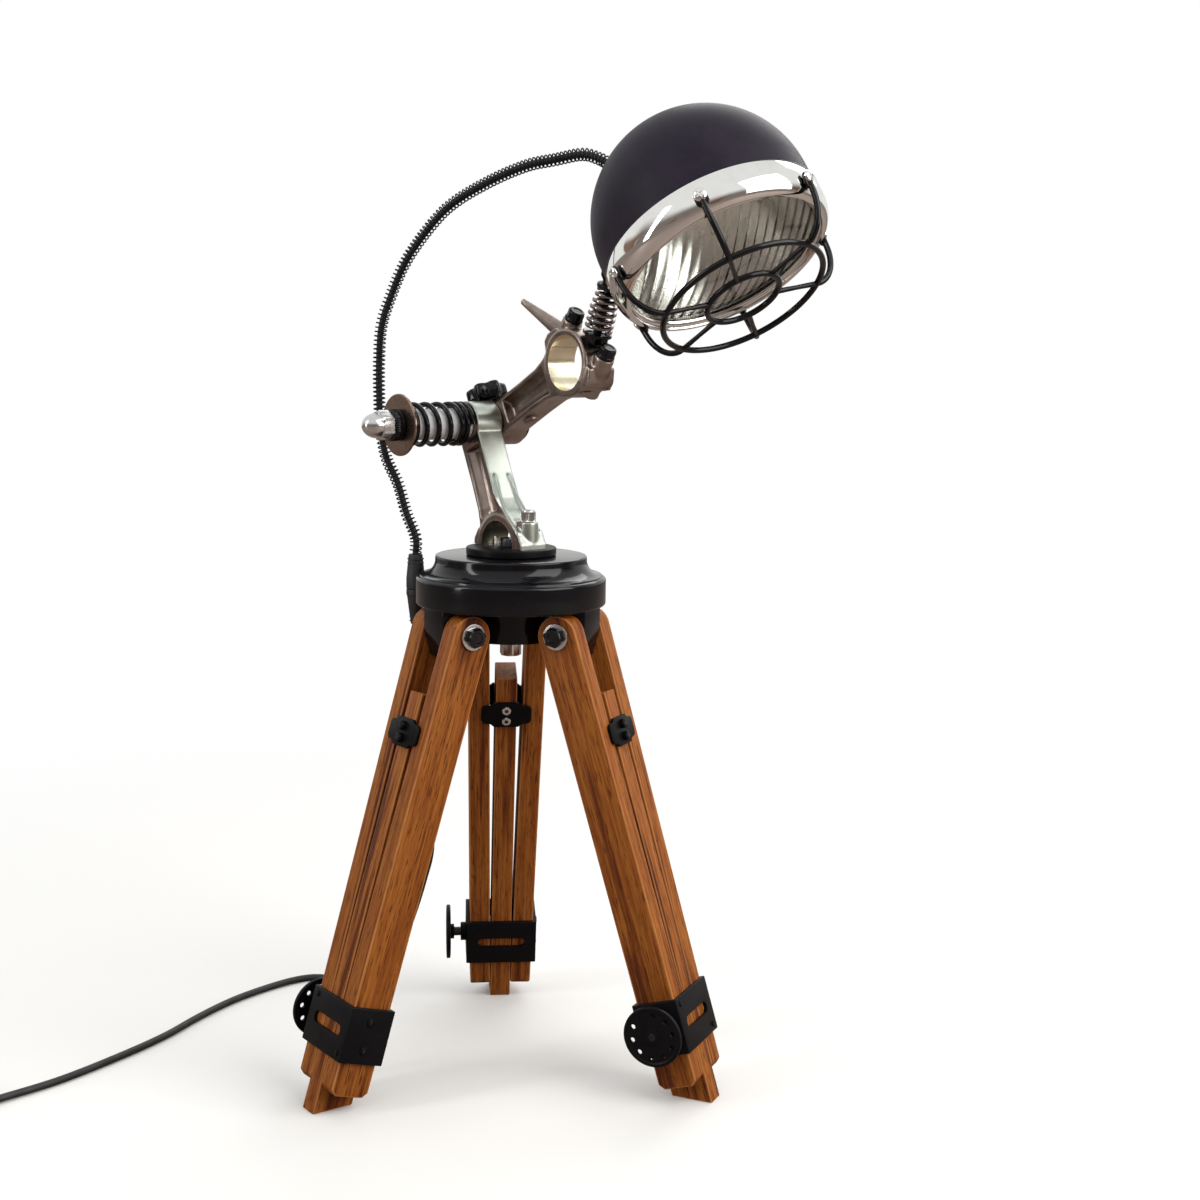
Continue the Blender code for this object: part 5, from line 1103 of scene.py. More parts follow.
def makeBracket(name, place, spec):
    # A slotted band round the slats, with the wheel's nut on one side and rivets on the other.
    side = legSpec["knobSides"][name]
    halfX, wall, height, over = slatDepth / 2 + gap, spec["wall"], legSpec["clampHeight"], spec["overrun"]
    inside = slab(2 * halfX, 2 * clampHalf, height + 2 * over)
    outer = slab(2 * (halfX + wall), 2 * (clampHalf + wall), height, spec["easing"], 3)
    slot = arc(spec["slotHalf"], 0, spec["slotRadius"], -90, 90, 12)
    slot += arc(-spec["slotHalf"], 0, spec["slotRadius"], 90, 270, 12)
    through = moved(prism(slot, 2 * (halfX + wall + over)), swing(90, "Z"))
    face, sunk = clampHalf + wall, spec["nutSunk"]
    bore, radius, high, easing = spec["nut"]
    nut = lathe(rounded([(bore, 0), (radius, 0), (radius, high), (bore, high)], easing), 40, True)
    nutAt = shift(0, side * face, 0) @ swing(-side * 90, "X") @ shift(0, 0, -sunk)
    parts = [(shaped(outer, [inside, through]), satin), (nut, satin, nutAt)]
    for level in (-1, 1):
        where = shift(0, -side * face, level * spec["rivetSpacing"]) @ swing(side * 90, "X")
        pinAt = shift(halfX + wall - sunk, level * (clampHalf - spec["pinInset"]), -level * spec["pinHeight"])
        parts += [(lathe(spec["rivet"], 32), satin, where), (drum(*spec["socket"], 6), darkSteel, where),
                  (drum(*spec["pin"], 24), satin, pinAt @ swing(90, "Y"))]
    finePiece(f"{name}ClampBracket", parts, place @ shift(0, 0, -legSpec["clampDrop"]), f"{name}_leg",
              [f"{name}_clamp_bracket"])


wheelSpec = {
    "profile": (
        (0, 0.0006), (0.0185, 0.0006), (0.0200, 0), (0.0220, 0.0003), (0.0220, 0.0032), (0.0200, 0.0035),
        (0.0188, 0.0027), (0, 0.0027),
    ),
    "easing": 0.0006, "holes": 10, "hole": 0.0019, "holeCircle": 0.0158, "stand": 0.0130,
    "hub": ((0, 0.0034), (0.0058, 0.0034), (0.0062, -0.0030), (0, -0.0030)),
    "screwEnd": ((0, 0.0039), (0.0026, 0.0039), (0.0032, 0.0034), (0.0032, 0), (0, 0)), "endSunk": 0.0004,
    "shaft": 0.0035, "threads": 9, "thread": (0.0034, 0.0003), "firstThread": 0.0082, "pitch": 0.0008,
}


def makeWheel(name, place, spec):
    # A perforated hand wheel on a threaded shaft.
    side = legSpec["knobSides"][name]
    stand = clampSpec["wall"] + spec["stand"]
    punch = lathe([(0, -0.002), (spec["hole"], -0.002), (spec["hole"], 0.006), (0, 0.006)], 24)
    holes = [moved(punch, swing(360 / spec["holes"] * i, "Z") @ shift(spec["holeCircle"], 0, 0))
             for i in range(spec["holes"])]
    wheel = shaped(lathe(rounded(spec["profile"], spec["easing"]), 96), holes)
    hub = lathe(rounded(spec["hub"], spec["easing"]), 40)
    parts = [(wheel, satin, shift(0, 0, stand)), (hub, satin, shift(0, 0, stand)),
             (lathe(spec["screwEnd"], 28), darkSteel, shift(0, 0, stand - spec["endSunk"])),
             (drum(spec["shaft"], stand, 0.0004, 24), darkSteel)]
    for i in range(spec["threads"]):
        parts.append((ring(*spec["thread"], spec["firstThread"] + spec["pitch"] * i, 24, 6), darkSteel))
    where = place @ shift(0, side * (clampHalf - gap / 2), -legSpec["clampDrop"]) @ swing(-side * 90, "X")
    finePiece(f"{name}ClampKnob", parts, where, f"{name}_knob", [f"{name}_clamp_knob"])


for number, (legName, legPlace) in enumerate(legs.items(), 1):
    makeSlats(legName, legPlace, number)
    makeHingeBolt(legName, legPlace, hingeSpec)
    makeGuides(legName, legPlace, guideSpec)
    makeBracket(legName, legPlace, clampSpec)
    makeWheel(legName, legPlace, wheelSpec)
print("legs made")


# Connecting rods, melted from plain bodies so that the inner corners are rounded as in a casting.
rodSpec = {
    "smallRadius": 0.0165, "smallWidth": 0.0230, "shankWidth": 0.0220, "flange": 0.0034, "web": 0.0062,
    "fillet": ((0.0008, 0.0052), (0.0018, 0.0034), (0.0032, 0.0019), (0.0052, 0.0007)),
    "half": 0.0120,
    "shares": ((0.0, 1.04), (0.45, 1.0), (0.66, 1.06), (0.77, 1.25), (0.86, 1.72), (0.95, 1.88)),
    "solidFrom": 0.72, "rootReach": 1.25, "boreRadius": 0.0195, "ringRadius": 0.0242, "bigWidth": 0.0240,
    "bossWidth": 0.0150, "bossDepth": 0.0232, "bossSpacing": 0.0445, "bossRound": 0.0074, "bossTaper": 0.0050,
    # reflectionSide: the flange side that is painted paler as a reflection on the lower rod.
    "bossSunk": 0.0020, "voxel": 0.00075, "smoothing": 8, "reflectionSide": -1, "pinRadius": 0.0063,
    "capBoss": 0.0215, "baseBoss": 0.0200, "backBoss": 0.0110,
    # The lower rod's front flange forks round the bolt's boss.
    "fork": ((0.046, 0.0060, -0.0118), (0.062, 0.0078, -0.0132), (0.076, 0.0092, -0.0162),
             (0.088, 0.0098, -0.0220), (0.098, 0.0100, -0.0262)),
    "forkWire": (0.0012, 0.0022), "pip": (0.0026, 0.0016, 0.0005), "pipAt": (0.0700, 0.0036, 0.0080),
    # The upper rod has a round boss below its shank, and a spike and raised rims on its cap.
    "bump": (0.0052, 0.0040, 0.0012), "bumpAt": (0.0330, 0, -0.0110),
    "spike": ((0, 0), (0.0070, 0), (0.0025, 0.0590), (0, 0.0590)), "spikeRise": 0.42, "spikeLean": 100.7,
    "rimInset": 0.0016, "rimWire": 0.0012, "rimSunk": 0.0004,
}
sideways = swing(90, "X")             # turns a lathe's height along the pin


def bossParts(spec, place, height):
    half, sunk, parts = spec["bossWidth"] / 2, spec["bossSunk"], []
    outline = [(-half, -sunk), (half, -sunk), (half, 0.2 * height)]
    outline += [(half - spec["bossTaper"], 0.6 * height), (-half, 0.6 * height)]
    for side in (-1, 1):
        sided = outline if side > 0 else [(-x, z) for x, z in reversed(outline)]
        where = place @ shift(side * spec["bossSpacing"] / 2, 0, 0)
        parts.append(moved(prism(sided, spec["bossDepth"]), where))
        parts.append(moved(drum(spec["bossRound"], height + sunk, 0.0006, 40), where @ shift(0, 0, -sunk)))
    return parts


def bigEnd(spec, length):
    place = shift(length, spec["bigWidth"] / 2, 0) @ sideways
    return moved(drum(spec["ringRadius"], spec["bigWidth"], 0.0010, 96), place)


def drill(radius, place, steps, half=0.02):
    return moved(lathe([(0, -half), (radius, -half), (radius, half), (0, half)], steps), place @ sideways)


def bigEndCuts(spec, length, split, side):
    # The half beyond the parting plane, on that side, and the bore.
    wide = 4 * spec["ringRadius"]
    beyond = partingPlace(length, split) @ shift(0, 0, side * (wide - gap) / 2)
    return [moved(slab(wide, wide, wide), beyond), drill(spec["boreRadius"], shift(length, 0, 0), 96)]


def faceNormals(points, faces):
    normals = np.array([np.cross(points[f[1]] - points[f[0]], points[f[2]] - points[f[0]]) for f in faces])
    return normals / np.maximum(np.linalg.norm(normals, axis=1), 1e-12)[:, None]


def rodFinish(part, spec, length, split, pinned, paintReflection=False):
    # The bores and the parting faces are machined, and the rest is as cast, but the lower rod's outward
    # flange face gets a paler, greener cast colour as a painted reflection.
    points, faces = part
    centres = np.array([points[face].mean(axis=0) for face in faces])
    bright = np.abs(np.hypot(centres[:, 0] - length, centres[:, 2]) - spec["boreRadius"]) < 0.00025
    if pinned:
        bright |= np.hypot(centres[:, 0], centres[:, 2]) < spec["pinRadius"] + 0.0003
    normal = np.array((math.cos(math.radians(split)), 0, math.sin(math.radians(split))))
    bright |= np.abs((centres - np.array((length, 0, 0))) @ normal) < gap * 0.6
    # Flange faces turned to that side, away from the machined faces, get the painted reflection colour.
    outwards = faceNormals(points, faces)[:, 2] * spec["reflectionSide"]
    level = centres[:, 2] * spec["reflectionSide"]
    front = ~bright & paintReflection & (outwards > 0.4) & (level > spec["half"] * 0.3)
    chosen = ((~bright & ~front, cast), (bright, machined), (front, flangeReflectionCast))
    return [((points, [face for face, flag in zip(faces, flags) if flag]), finish)
            for flags, finish in chosen if flags.any()]


def rodBody(spec, length, split, bossHeight, extras, paintReflection):
    top = [(length * x, spec["half"] * z) for x, z in spec["shares"]]
    fine = [(x, float(np.interp(x, *zip(*top)))) for x in np.linspace(0, top[-1][0], 40)]
    inner = [(x, z - spec["flange"]) for x, z in fine]
    small = drum(spec["smallRadius"], spec["smallWidth"], 0.0008, 72)
    parts = [moved(small, shift(0, spec["smallWidth"] / 2, 0) @ sideways), prism(mirrored(fine), spec["web"])]
    for sign in (1, -1):
        parts.append(prism([(x, sign * z) for x, z in fine + inner[::-1]], spec["shankWidth"]))
    for reach, rise in spec["fillet"]:          # the rounded corners of the pocket
        for sign in (1, -1):
            edge = [(x, sign * (z + spec["flange"] * 0.5)) for x, z in inner]
            low = [(x, sign * max(0.0, z - reach)) for x, z in inner]
            parts.append(prism(edge + low[::-1], spec["web"] + 2 * rise))
    full = [(x, z) for x, z in fine if x > length * spec["solidFrom"]]
    root = [(x, z) for x, z in fine if x < spec["smallRadius"] * spec["rootReach"]]
    parts += [prism(mirrored(some), spec["shankWidth"]) for some in (full, root)]
    parts.append(bigEnd(spec, length))
    parting = partingPlace(length, split)
    parts += bossParts(spec, parting @ swing(180, "Y") @ swing(180, "Z"), bossHeight)
    cuts = bigEndCuts(spec, length, split, 1) + [drill(spec["pinRadius"], Matrix(), 48)]
    body = shaped(joined(parts + extras), cuts, spec["voxel"], spec["smoothing"])
    return rodFinish(body, spec, length, split, True, paintReflection)


def makeLowerRod(spec):
    x, y, z = spec["pipAt"]
    extras = []
    for side in (-1, 1):
        path = smoothPath([(along, side * across, level) for along, across, level in spec["fork"]], 16)
        extras.append(sweep(path, np.linspace(*spec["forkWire"], 16), 12))
        extras.append(moved(drum(*spec["pip"], 24), shift(x, side * y, z) @ swing(-side * 90, "X")))
    # True: the front flange face carries the painted reflection.
    parts = rodBody(spec, *axes["lowerRod"], spec["baseBoss"], extras, True)
    finePiece("lowerRod", parts, lowerRod, "turntable", ["lower_rod"], sharp=40.0)


def makeUpperRod(spec):
    length, split = axes["upperRod"]
    bump = moved(drum(*spec["bump"], 40), shift(*spec["bumpAt"]) @ swing(180, "X"))
    parts = rodBody(spec, length, split, spec["backBoss"], [bump], False)
    finePiece("upperRod", parts, upperRod, "upper_arm", ["upper_rod"], sharp=40.0)
    parting = partingPlace(length, split)
    spike = lathe(rounded(spec["spike"], 0.0014, 4), 40)
    spikeAt = parting @ shift(-spec["bossSpacing"] / 2, 0, spec["capBoss"] * spec["spikeRise"])
    parts = [bigEnd(spec, length)] + bossParts(spec, parting, spec["capBoss"])
    parts.append(moved(spike, spikeAt @ swing(-spec["spikeLean"], "Y")))
    for side in (-1, 1):
        level = side * (spec["bigWidth"] / 2 - spec["rimSunk"])
        rim = ring(spec["ringRadius"] - spec["rimInset"], spec["rimWire"], level, 96, 12)
        parts.append(moved(rim, shift(length, 0, 0) @ sideways))
    cap = shaped(joined(parts), bigEndCuts(spec, length, split, -1), spec["voxel"], spec["smoothing"])
    finePiece("upperRodCap", rodFinish(cap, spec, length, split, False), upperRod, "upper_arm",
              ["upper_rod_cap"], sharp=40.0)


capBoltSpec = {
    "head": (
        (0, 0), (0.0068, 0), (0.0068, 0.0014), (0.0060, 0.0020), (0.0060, 0.0070), (0.0052, 0.0078),
        (0.0030, 0.0078), (0.0028, 0.0070), (0, 0.0070),
    ),
    "across": 0.0112, "flats": (0.0020, 0.0066), "crown": (0.0052, 0.0074),
    "shank": (0.0026, 0.0240, 0.0003), "shankAt": -0.0236,
}


def makeCapBolts(spec):
    parting = partingPlace(*axes["upperRod"])
    flats, (low, high), (crown, top) = hexagon(spec["across"]), spec["flats"], spec["crown"]
    parts = [
        (lathe(rounded(spec["head"], 0.0005), 48), gloss),
        (lathe([(0, low), (flats, low), (flats, high), (crown, top), (0, top)], 48), gloss),
        (drum(*spec["shank"], 24), darkSteel, shift(0, 0, spec["shankAt"])),
    ]
    for side, word in ((-1, "upper"), (1, "lower")):
        seat = parting @ shift(side * rodSpec["bossSpacing"] / 2, 0, rodSpec["capBoss"] + gap)
        finePiece("capBolt" + word.title(), parts, upperRod @ seat, "upper_arm", ["cap_bolt_" + word])


baseBoltSpec = {
    "radius": 0.0056, "height": 0.0080, "knurls": (40, 0.0004), "key": 0.0050, "keyDepth": 0.0038,
    "keyPoint": 0.0044, "shank": (0.0036, 0.0228, 0.0003), "shankAt": -0.0226, "boltAt": 0.02045,
    "screw": ((0, 0), (0.0062, 0), (0.0062, 0.0030), (0.0036, 0.0030), (0.0036, 0.0247), (0, 0.0247)),
    "screwAt": -0.02405,
}


def makeBaseBolts(spec):
    # A knurled cap screw with a hexagon socket, and the screw from below.
    radius, height = spec["radius"], spec["height"]
    grip, key = knurled(radius, *spec["knurls"]), hexagon(spec["key"])
    head = lathe([
        (0, 0), (radius, 0), (grip, 0.0006), (grip, height - 0.0011), (radius - 0.0004, height - 0.0010),
        (radius - 0.0009, height), (key, height), (key, height - spec["keyDepth"]),
        (0, height - spec["keyPoint"]),
    ], 240)
    level = plateSpec["thickness"] + 2.5 * gap + rodSpec["baseBoss"]
    parts = [(head, zinc), (drum(*spec["shank"], 28), zinc, shift(0, 0, spec["shankAt"]))]
    finePiece("baseBolt", parts, table @ shift(spec["boltAt"], 0, level), "turntable", ["base_bolt"],
              sharp=25.0)
    finePiece("baseScrew", [(lathe(rounded(spec["screw"], 0.0004), 40), zinc)],
              table @ shift(spec["screwAt"], 0, gap), "turntable", ["base_screw"])


makeLowerRod(rodSpec)
makeUpperRod(rodSpec)
makeCapBolts(capBoltSpec)
makeBaseBolts(baseBoltSpec)
print("connecting rods made")


# Everything on the pivot pin: its axis runs from the rods towards the dome nut.
stackSpec = {
    "start": 0.0118, "springLength": 0.0560, "springRadius": 0.0145, "springWire": 0.0020, "openTurns": 3.6,
    "closedTurns": 1.0, "bore": 0.0063, "sleeve": 0.0114, "washer": 0.0225, "washerThick": 0.0020,
    "lock": 0.0115, "lockHeight": 0.0075, "lockKnurls": (44, 0.0005),
    "domeKey": 0.0190, "domeFace": 0.0090, "domeFlats": (0.0006, 0.0086), "domeShoulder": 0.0094,
    "domeBase": 0.0095, "domeRadius": 0.0092, "domeRise": 0.0120, "domeHollow": 0.0092,
    "pin": 0.0060, "pinInNut": 0.0090, "pinHeadAt": -0.03525, "pinHeadFace": 0.0142, "pinHead": 0.0148,
    "pinHeadRise": 0.0080,
}


def springPath(radii, heights, turns, perTurn):
    # heights is (shares of the length, levels there), and the radii are spread evenly.
    shares = np.linspace(0, 1, int(round(turns * perTurn)) + 1)
    radius = np.interp(shares, np.linspace(0, 1, len(radii)), radii)
    height = np.interp(shares, *heights)
    angle = shares * turns * 2 * math.pi
    return np.column_stack((radius * np.cos(angle), radius * np.sin(angle), height))


def makeStack(spec):
    start, wire, bore = spec["start"], spec["springWire"], spec["bore"]
    end = start + spec["springLength"]
    turns = spec["openTurns"] + 3 * spec["closedTurns"]
    first, last, pitch = start + wire + gap, end - wire - gap, 2 * wire + 2.5 * gap
    heights = ([0, 2 / turns, 1 - 1 / turns, 1], [first, first + 2 * pitch, last - pitch, last])
    coil = springPath([spec["springRadius"]], heights, turns, 40)
    finePiece("pivotSpring", [(sweep(coil, wire, 16), gloss)], pivot, "turntable", ["pivot_spring"],
              sharp=60.0)
    sleeve = lathe([(spec["sleeve"], end), (spec["sleeve"], start), (bore, start), (bore, end)], 96, True)
    finePiece("springSleeve", [(sleeve, sleeveWhite)], pivot, "turntable", ["spring_sleeve"])
    level, radius = end + gap, spec["washer"]
    top = level + spec["washerThick"]
    washer = [(bore, level), (radius - 0.0005, level), (radius, level + 0.0004), (radius, top - 0.0006)]
    washer += [(radius - 0.0007, top), (bore, top)]
    finePiece("pivotWasher", [(lathe(washer, 144, True), washerSteel)], pivot, "turntable", ["pivot_washer"],
              sharp=20.0)
    level, radius = top + gap, spec["lock"]
    top, grip = level + spec["lockHeight"], knurled(radius, *spec["lockKnurls"])
    collar = [(bore, level), (radius - 0.0008, level), (grip, level + 0.0007), (grip, top - 0.0007)]
    collar += [(radius - 0.0010, top), (bore, top)]
    finePiece("lockNut", [(lathe(collar, 264, True), gloss)], pivot, "turntable", ["lock_nut"],
              sharp=50.0)
    return top + gap


def makeDomeNut(spec, level):
    # The nut's closed dome, and the pin through the whole stack, whose end stands inside it.
    flats, (low, high) = hexagon(spec["domeKey"]), spec["domeFlats"]
    base, hollow = level + spec["domeBase"], level + spec["domeHollow"]
    profile = [(spec["bore"], level), (spec["domeFace"], level), (flats, level + low), (flats, level + high)]
    profile += [(spec["domeShoulder"], base)]
    for angle in np.radians(np.linspace(0, 90, 14))[:-1]:
        profile.append((spec["domeRadius"] * math.cos(angle), base + spec["domeRise"] * math.sin(angle)))
    profile += [(0, base + spec["domeRise"]), (0, hollow), (spec["bore"], hollow), (spec["bore"], level)]
    finePiece("domeNut", [(lathe(profile, 96), zinc)], pivot, "turntable", ["dome_nut"],
              sharp=35.0)
    end, head, radius = level + spec["pinInNut"], spec["pinHeadAt"], spec["pinHead"]
    profile = [(0, end), (spec["pin"], end), (spec["pin"], head), (spec["pinHeadFace"], head)]
    profile += [(radius, head - 0.0006)]
    for angle in np.radians(np.linspace(12, 90, 9))[:-1]:
        profile.append((radius * math.cos(angle), head - spec["pinHeadRise"] * math.sin(angle)))
    profile.append((0, head - spec["pinHeadRise"]))
    finePiece("pivotBolt", [(lathe(profile, 72), gloss)], pivot, "turntable", ["pivot_bolt"])


# Star knob: lobed rings as (inset, height), then its dished top as (radius, height).
starSpec = {
    "radius": 0.0155, "lobes": 6, "depth": 0.0017, "neck": 0.0062, "shift": 0.0074, "stand": 0.0008,
    "sides": ((0.0030, 0), (0.0006, 0.0016), (0, 0.0038), (0, 0.0090), (0.0005, 0.0107), (0.0022, 0.0117)),
    "dish": ((0.0092, 0.0120), (0.0080, 0.0120), (0.0074, 0.0108), (0, 0.0108)),
    "stud": 0.0030, "studFrom": 0.0066, "studInKnob": 0.0040, "neckInKnob": 0.0020,
}


def makeStar(spec):
    base = rodSpec["smallRadius"] + gap + spec["stand"]
    profile = [(0, base)]
    for inset, up in spec["sides"]:
        profile.append((lobed(spec["radius"] - inset, spec["lobes"], spec["depth"]), base + up))
    profile += [(radius, base + up) for radius, up in spec["dish"]]
    parts = [(lathe(profile, 144), gloss)]
    for radius, low, high, steps, finish in (
        (spec["neck"], base - spec["stand"], base + spec["neckInKnob"], 40, gloss),
        (spec["stud"], spec["studFrom"], base + spec["studInKnob"], 28, zinc),
    ):
        parts.append((lathe([(0, low), (radius, low), (radius, high), (0, high)], steps), finish))
    place = elbow @ shift(0, axes["upperRodSide"] - spec["shift"], 0)
    finePiece("starKnob", parts, place, "arm_lock_knob", ["star_knob"], sharp=40.0)


mountSpec = {
    "springLength": 0.0330, "wide": 0.0088, "narrow": 0.0066, "wire": 0.0015, "turns": 6.6, "endTurns": 0.9,
    "endRise": 0.0030, "block": 0.0125, "seatShare": 0.85, "sunk": 0.0010,
    "collar": ((0, -0.0012), (0.0105, -0.0012), (0.0105, 0.0010), (0, 0.0010)),
    "stud": (0.0030, 0.0430, 0.0005), "ear": 0.0030, "earRadius": 0.0085, "earBore": 0.0033,
    "barrel": ((0.0033, 0), (0.0055, 0), (0.0050, 0.0050), (0.0033, 0.0050)),
    "wingRoot": ((0.0030, 0.0012), (0.0064, 0.0030), (0.0090, 0.0062)), "wingTip": (0.0076, 0.0088, 0.0017),
    "wingBack": ((0.0052, 0.0066), (0.0034, 0.0046)), "wingThick": 0.0024,
}


def makeMount(spec):
    # A stud on the rod's side, a tapered spring on it, and a wing nut on top of the lamp's ear.
    high = axes["seat"][2] - rodSpec["ringRadius"] * spec["seatShare"]
    block, sunk = spec["block"], spec["sunk"]
    base = slab(block, block, high - 2 * sunk, 0.0008, 3)
    parts = [(base, gloss, shift(0, 0, sunk - high / 2)), (lathe(rounded(spec["collar"], 0.0005), 56), gloss),
             (drum(*spec["stud"], 28), darkSteel)]
    finePiece("mountStud", parts, mount, "upper_arm", ["mount_stud"])
    first, last = sunk + spec["wire"] + gap, spec["springLength"] - spec["wire"] - gap
    ends, rise = spec["endTurns"] / spec["turns"], spec["endRise"]
    heights = ([0, ends, 1 - ends, 1], [first, first + rise, last - rise, last])
    coil = springPath([spec["wide"], spec["wide"], spec["narrow"]], heights, spec["turns"], 32)
    finePiece("headSpring", [(sweep(coil, spec["wire"], 14), darkChrome)], mount, "upper_arm",
              ["head_spring"], sharp=60.0)
    earAt = mount @ shift(0, 0, spec["springLength"] + spec["ear"] / 2)
    outline = [*spec["wingRoot"], *arc(*spec["wingTip"], -10, 170, 8), *spec["wingBack"]]
    wing = prism(outline, spec["wingThick"], 0.0007, 3)
    parts = [(lathe(rounded(spec["barrel"], 0.0006), 40, True), gloss)]
    parts += [(wing, gloss, swing(90 + side, "Z")) for side in (0, 180)]
    finePiece("wingNut", parts, earAt @ shift(0, 0, spec["ear"] / 2 + gap), "lamp_head", ["wing_nut"])
    return earAt


domeNutAt = makeStack(stackSpec)
makeDomeNut(stackSpec, domeNutAt)
makeStar(starSpec)
earPlace = makeMount(mountSpec)
print("pivot stack and mount made")


# Lamp: heights run forwards along its axis from the rim of the shell, whose sizes stand beside the lead's.
ringSpec = {"outer": 0.0773, "wall": 0.0022, "straight": 0.0110, "forward": 0.0240, "mouth": 0.0692}
lensSpec = {
    "rim": 0.0145, "crown": 0.0125, "thick": 0.0028, "pitch": 0.0072, "depth": 0.00042, "turn": 27.0,
    "rings": 60, "steps": 240, "plainFrom": 0.93, "fade": 0.04, "sharpness": 0.7,
}
insideRing = ringSpec["outer"] - ringSpec["wall"] - 4 * gap


def domeProfile(radius, depth, steps):
    angles = np.linspace(0, math.pi / 2, steps + 1)[:-1]
    return [(radius * math.cos(a), radius - depth - radius * math.sin(a)) for a in angles] + [(0, -depth)]


def makeShell(spec):
    radius, depth, wall = spec["radius"], spec["depth"], spec["wall"]
    outside = [(radius, 0)] + domeProfile(radius, depth, 40)
    inside = [(radius - wall, 0)] + domeProfile(radius - wall, depth - wall, 40)
    ear = lamp.inverted() @ earPlace
    towards = ear.inverted() @ Vector((0, 0, radius - depth))
    bearing = math.degrees(math.atan2(towards.y, towards.x))
    reach = math.hypot(towards.x, towards.y) - spec["bite"] * math.sqrt(radius ** 2 - towards.z ** 2)
    thick, bore, wide = mountSpec["ear"], mountSpec["earBore"], mountSpec["earRadius"]
    strap = moved(slab(reach, 2 * wide * spec["neck"], thick, spec["easing"], 3),
                  swing(bearing, "Z") @ shift(reach / 2, 0, 0))
    edge = [(bore, -thick / 2), (wide, -thick / 2), (wide, thick / 2), (bore, thick / 2)]
    disc = lathe(rounded(edge, spec["easing"]), 48, True)
    parts = [(lathe(inside[::-1] + outside, 160), domePaint), (strap, domePaint, ear), (disc, domePaint, ear)]
    finePiece("lampShell", parts, lamp, "lamp_head", ["lamp_shell"])


def makeTrimRing(spec):
    # Outside, over the lip and back inside, with a dark bead where it meets the shell.
    outer, mouth, wall, front = spec["outer"], spec["mouth"], spec["wall"], spec["forward"]
    rise = front - spec["straight"]
    profile = [(outer - 0.0004, gap), (outer, gap + 0.0005)]
    for angle in np.linspace(0, math.pi / 2, 18):
        profile.append((mouth + (outer - mouth) * math.cos(angle), spec["straight"] + rise * math.sin(angle)))
    profile += [(mouth - 0.0007, front - 0.0008), (mouth - 0.0007, front - 0.0020)]
    profile += [(mouth - 0.0024, front - 0.0030), (mouth - 0.0030, front - 0.0046)]
    for angle in np.linspace(math.pi / 2, 0, 10):
        profile.append((mouth - 0.0004 + (outer - wall - mouth) * math.cos(angle),
                        spec["straight"] + (rise - 0.0060) * math.sin(angle)))
    profile += [(outer - wall, gap)]
    bead = ring(outer - 0.0006, 0.0007, 0.0008, 160, 10)
    finePiece("trimRing", [(lathe(profile, 180, True), chrome), (bead, gloss)], lamp, "lamp_head",
              ["trim_ring"], sharp=50.0)


def makeLens(spec):
    # Moulded flutes run up and down inside the glass, with a plain band near the rim.
    rings, steps, lean = spec["rings"], spec["steps"], math.radians(spec["turn"])
    angles = np.arange(steps) * 2 * math.pi / steps
    top = spec["rim"] + spec["crown"]
    front, back = [(0, 0, top)], [(0, 0, top - spec["thick"])]
    for share in np.linspace(0, 1, rings + 1)[1:]:
        x, y = insideRing * share * np.cos(angles), insideRing * share * np.sin(angles)
        level = spec["rim"] + spec["crown"] * (1 - share ** 2)
        front += list(zip(x, y, np.full(steps, level)))
        fade = float(np.clip((spec["plainFrom"] - share) / spec["fade"], 0, 1))
        across = (y * math.cos(lean) - x * math.sin(lean)) / spec["pitch"]
        flute = np.abs(np.sin(math.pi * across)) ** spec["sharpness"] * spec["depth"] * 2
        back += list(zip(x, y, level - spec["thick"] - fade * flute))
    start, rim, faces = len(front), 1 + (rings - 1) * steps, []
    turns = [(i, (i + 1) % steps) for i in range(steps)]
    for side in (0, start):
        faces += [[side, side + 1 + i, side + 1 + k] for i, k in turns]
        for r in range(rings - 1):
            low, high = side + 1 + r * steps, side + 1 + (r + 1) * steps
            faces += [[low + i, high + i, high + k, low + k] for i, k in turns]
    faces += [[rim + i, start + rim + i, start + rim + k, rim + k] for i, k in turns]
    finePiece("flutedLens", [((np.array(front + back), faces), lensGlass)], lamp, "lamp_head", ["lens"],
              sharp=60.0)


reflectorSpec = {
    "depth": 0.0630, "wall": 0.0012, "hole": 0.0130, "holder": 0.0127, "holderLength": 0.0200,
    "holderRib": (0.0124, 0.0005), "ribs": 4, "firstRib": 0.0050, "ribStep": 0.0030,
}
bulbSpec = {
    "radius": 0.0135, "length": 0.0440, "base": 0.0080, "neck": 0.0150, "neckEnd": 0.0120, "glassEnd": 0.0118,
    "cap": 0.0125, "filament": ((-0.003, 0, 0.030), (0, 0.001, 0.031), (0.003, 0, 0.030)), "wire": 0.0004,
}


def makeReflector(spec):
    wall, hole = spec["wall"], spec["hole"]
    deepest = lensSpec["rim"] - lensSpec["thick"] - gap - wall
    front, back = [], []
    for share in np.linspace(0, 1, 28):
        reach = hole + (insideRing - wall - hole) * share
        level = deepest - spec["depth"] * (1 - share ** 2)
        front.append((reach, level))
        back.append((reach + wall * 0.7, level - wall))
    back[0] = (hole, back[0][1])
    finePiece("mirrorBowl", [(lathe(back[::-1] + front, 128, True), mirror)], lamp, "lamp_head",
              ["reflector"], sharp=60.0)
    neck, radius = front[0][1] + wall, spec["holder"]
    end = neck - spec["holderLength"]
    holder = rounded([(0, neck + gap), (radius, neck + gap), (radius, end), (0, end)], 0.0008)
    levels = [neck - spec["firstRib"] - spec["ribStep"] * i for i in range(spec["ribs"])]
    parts = [(lathe(holder, 48), rubber)] + [(ring(*spec["holderRib"], at, 48, 8), rubber) for at in levels]
    finePiece("bulbHolder", parts, lamp, "lamp_head", ["bulb_holder"])
    return neck + 2 * gap


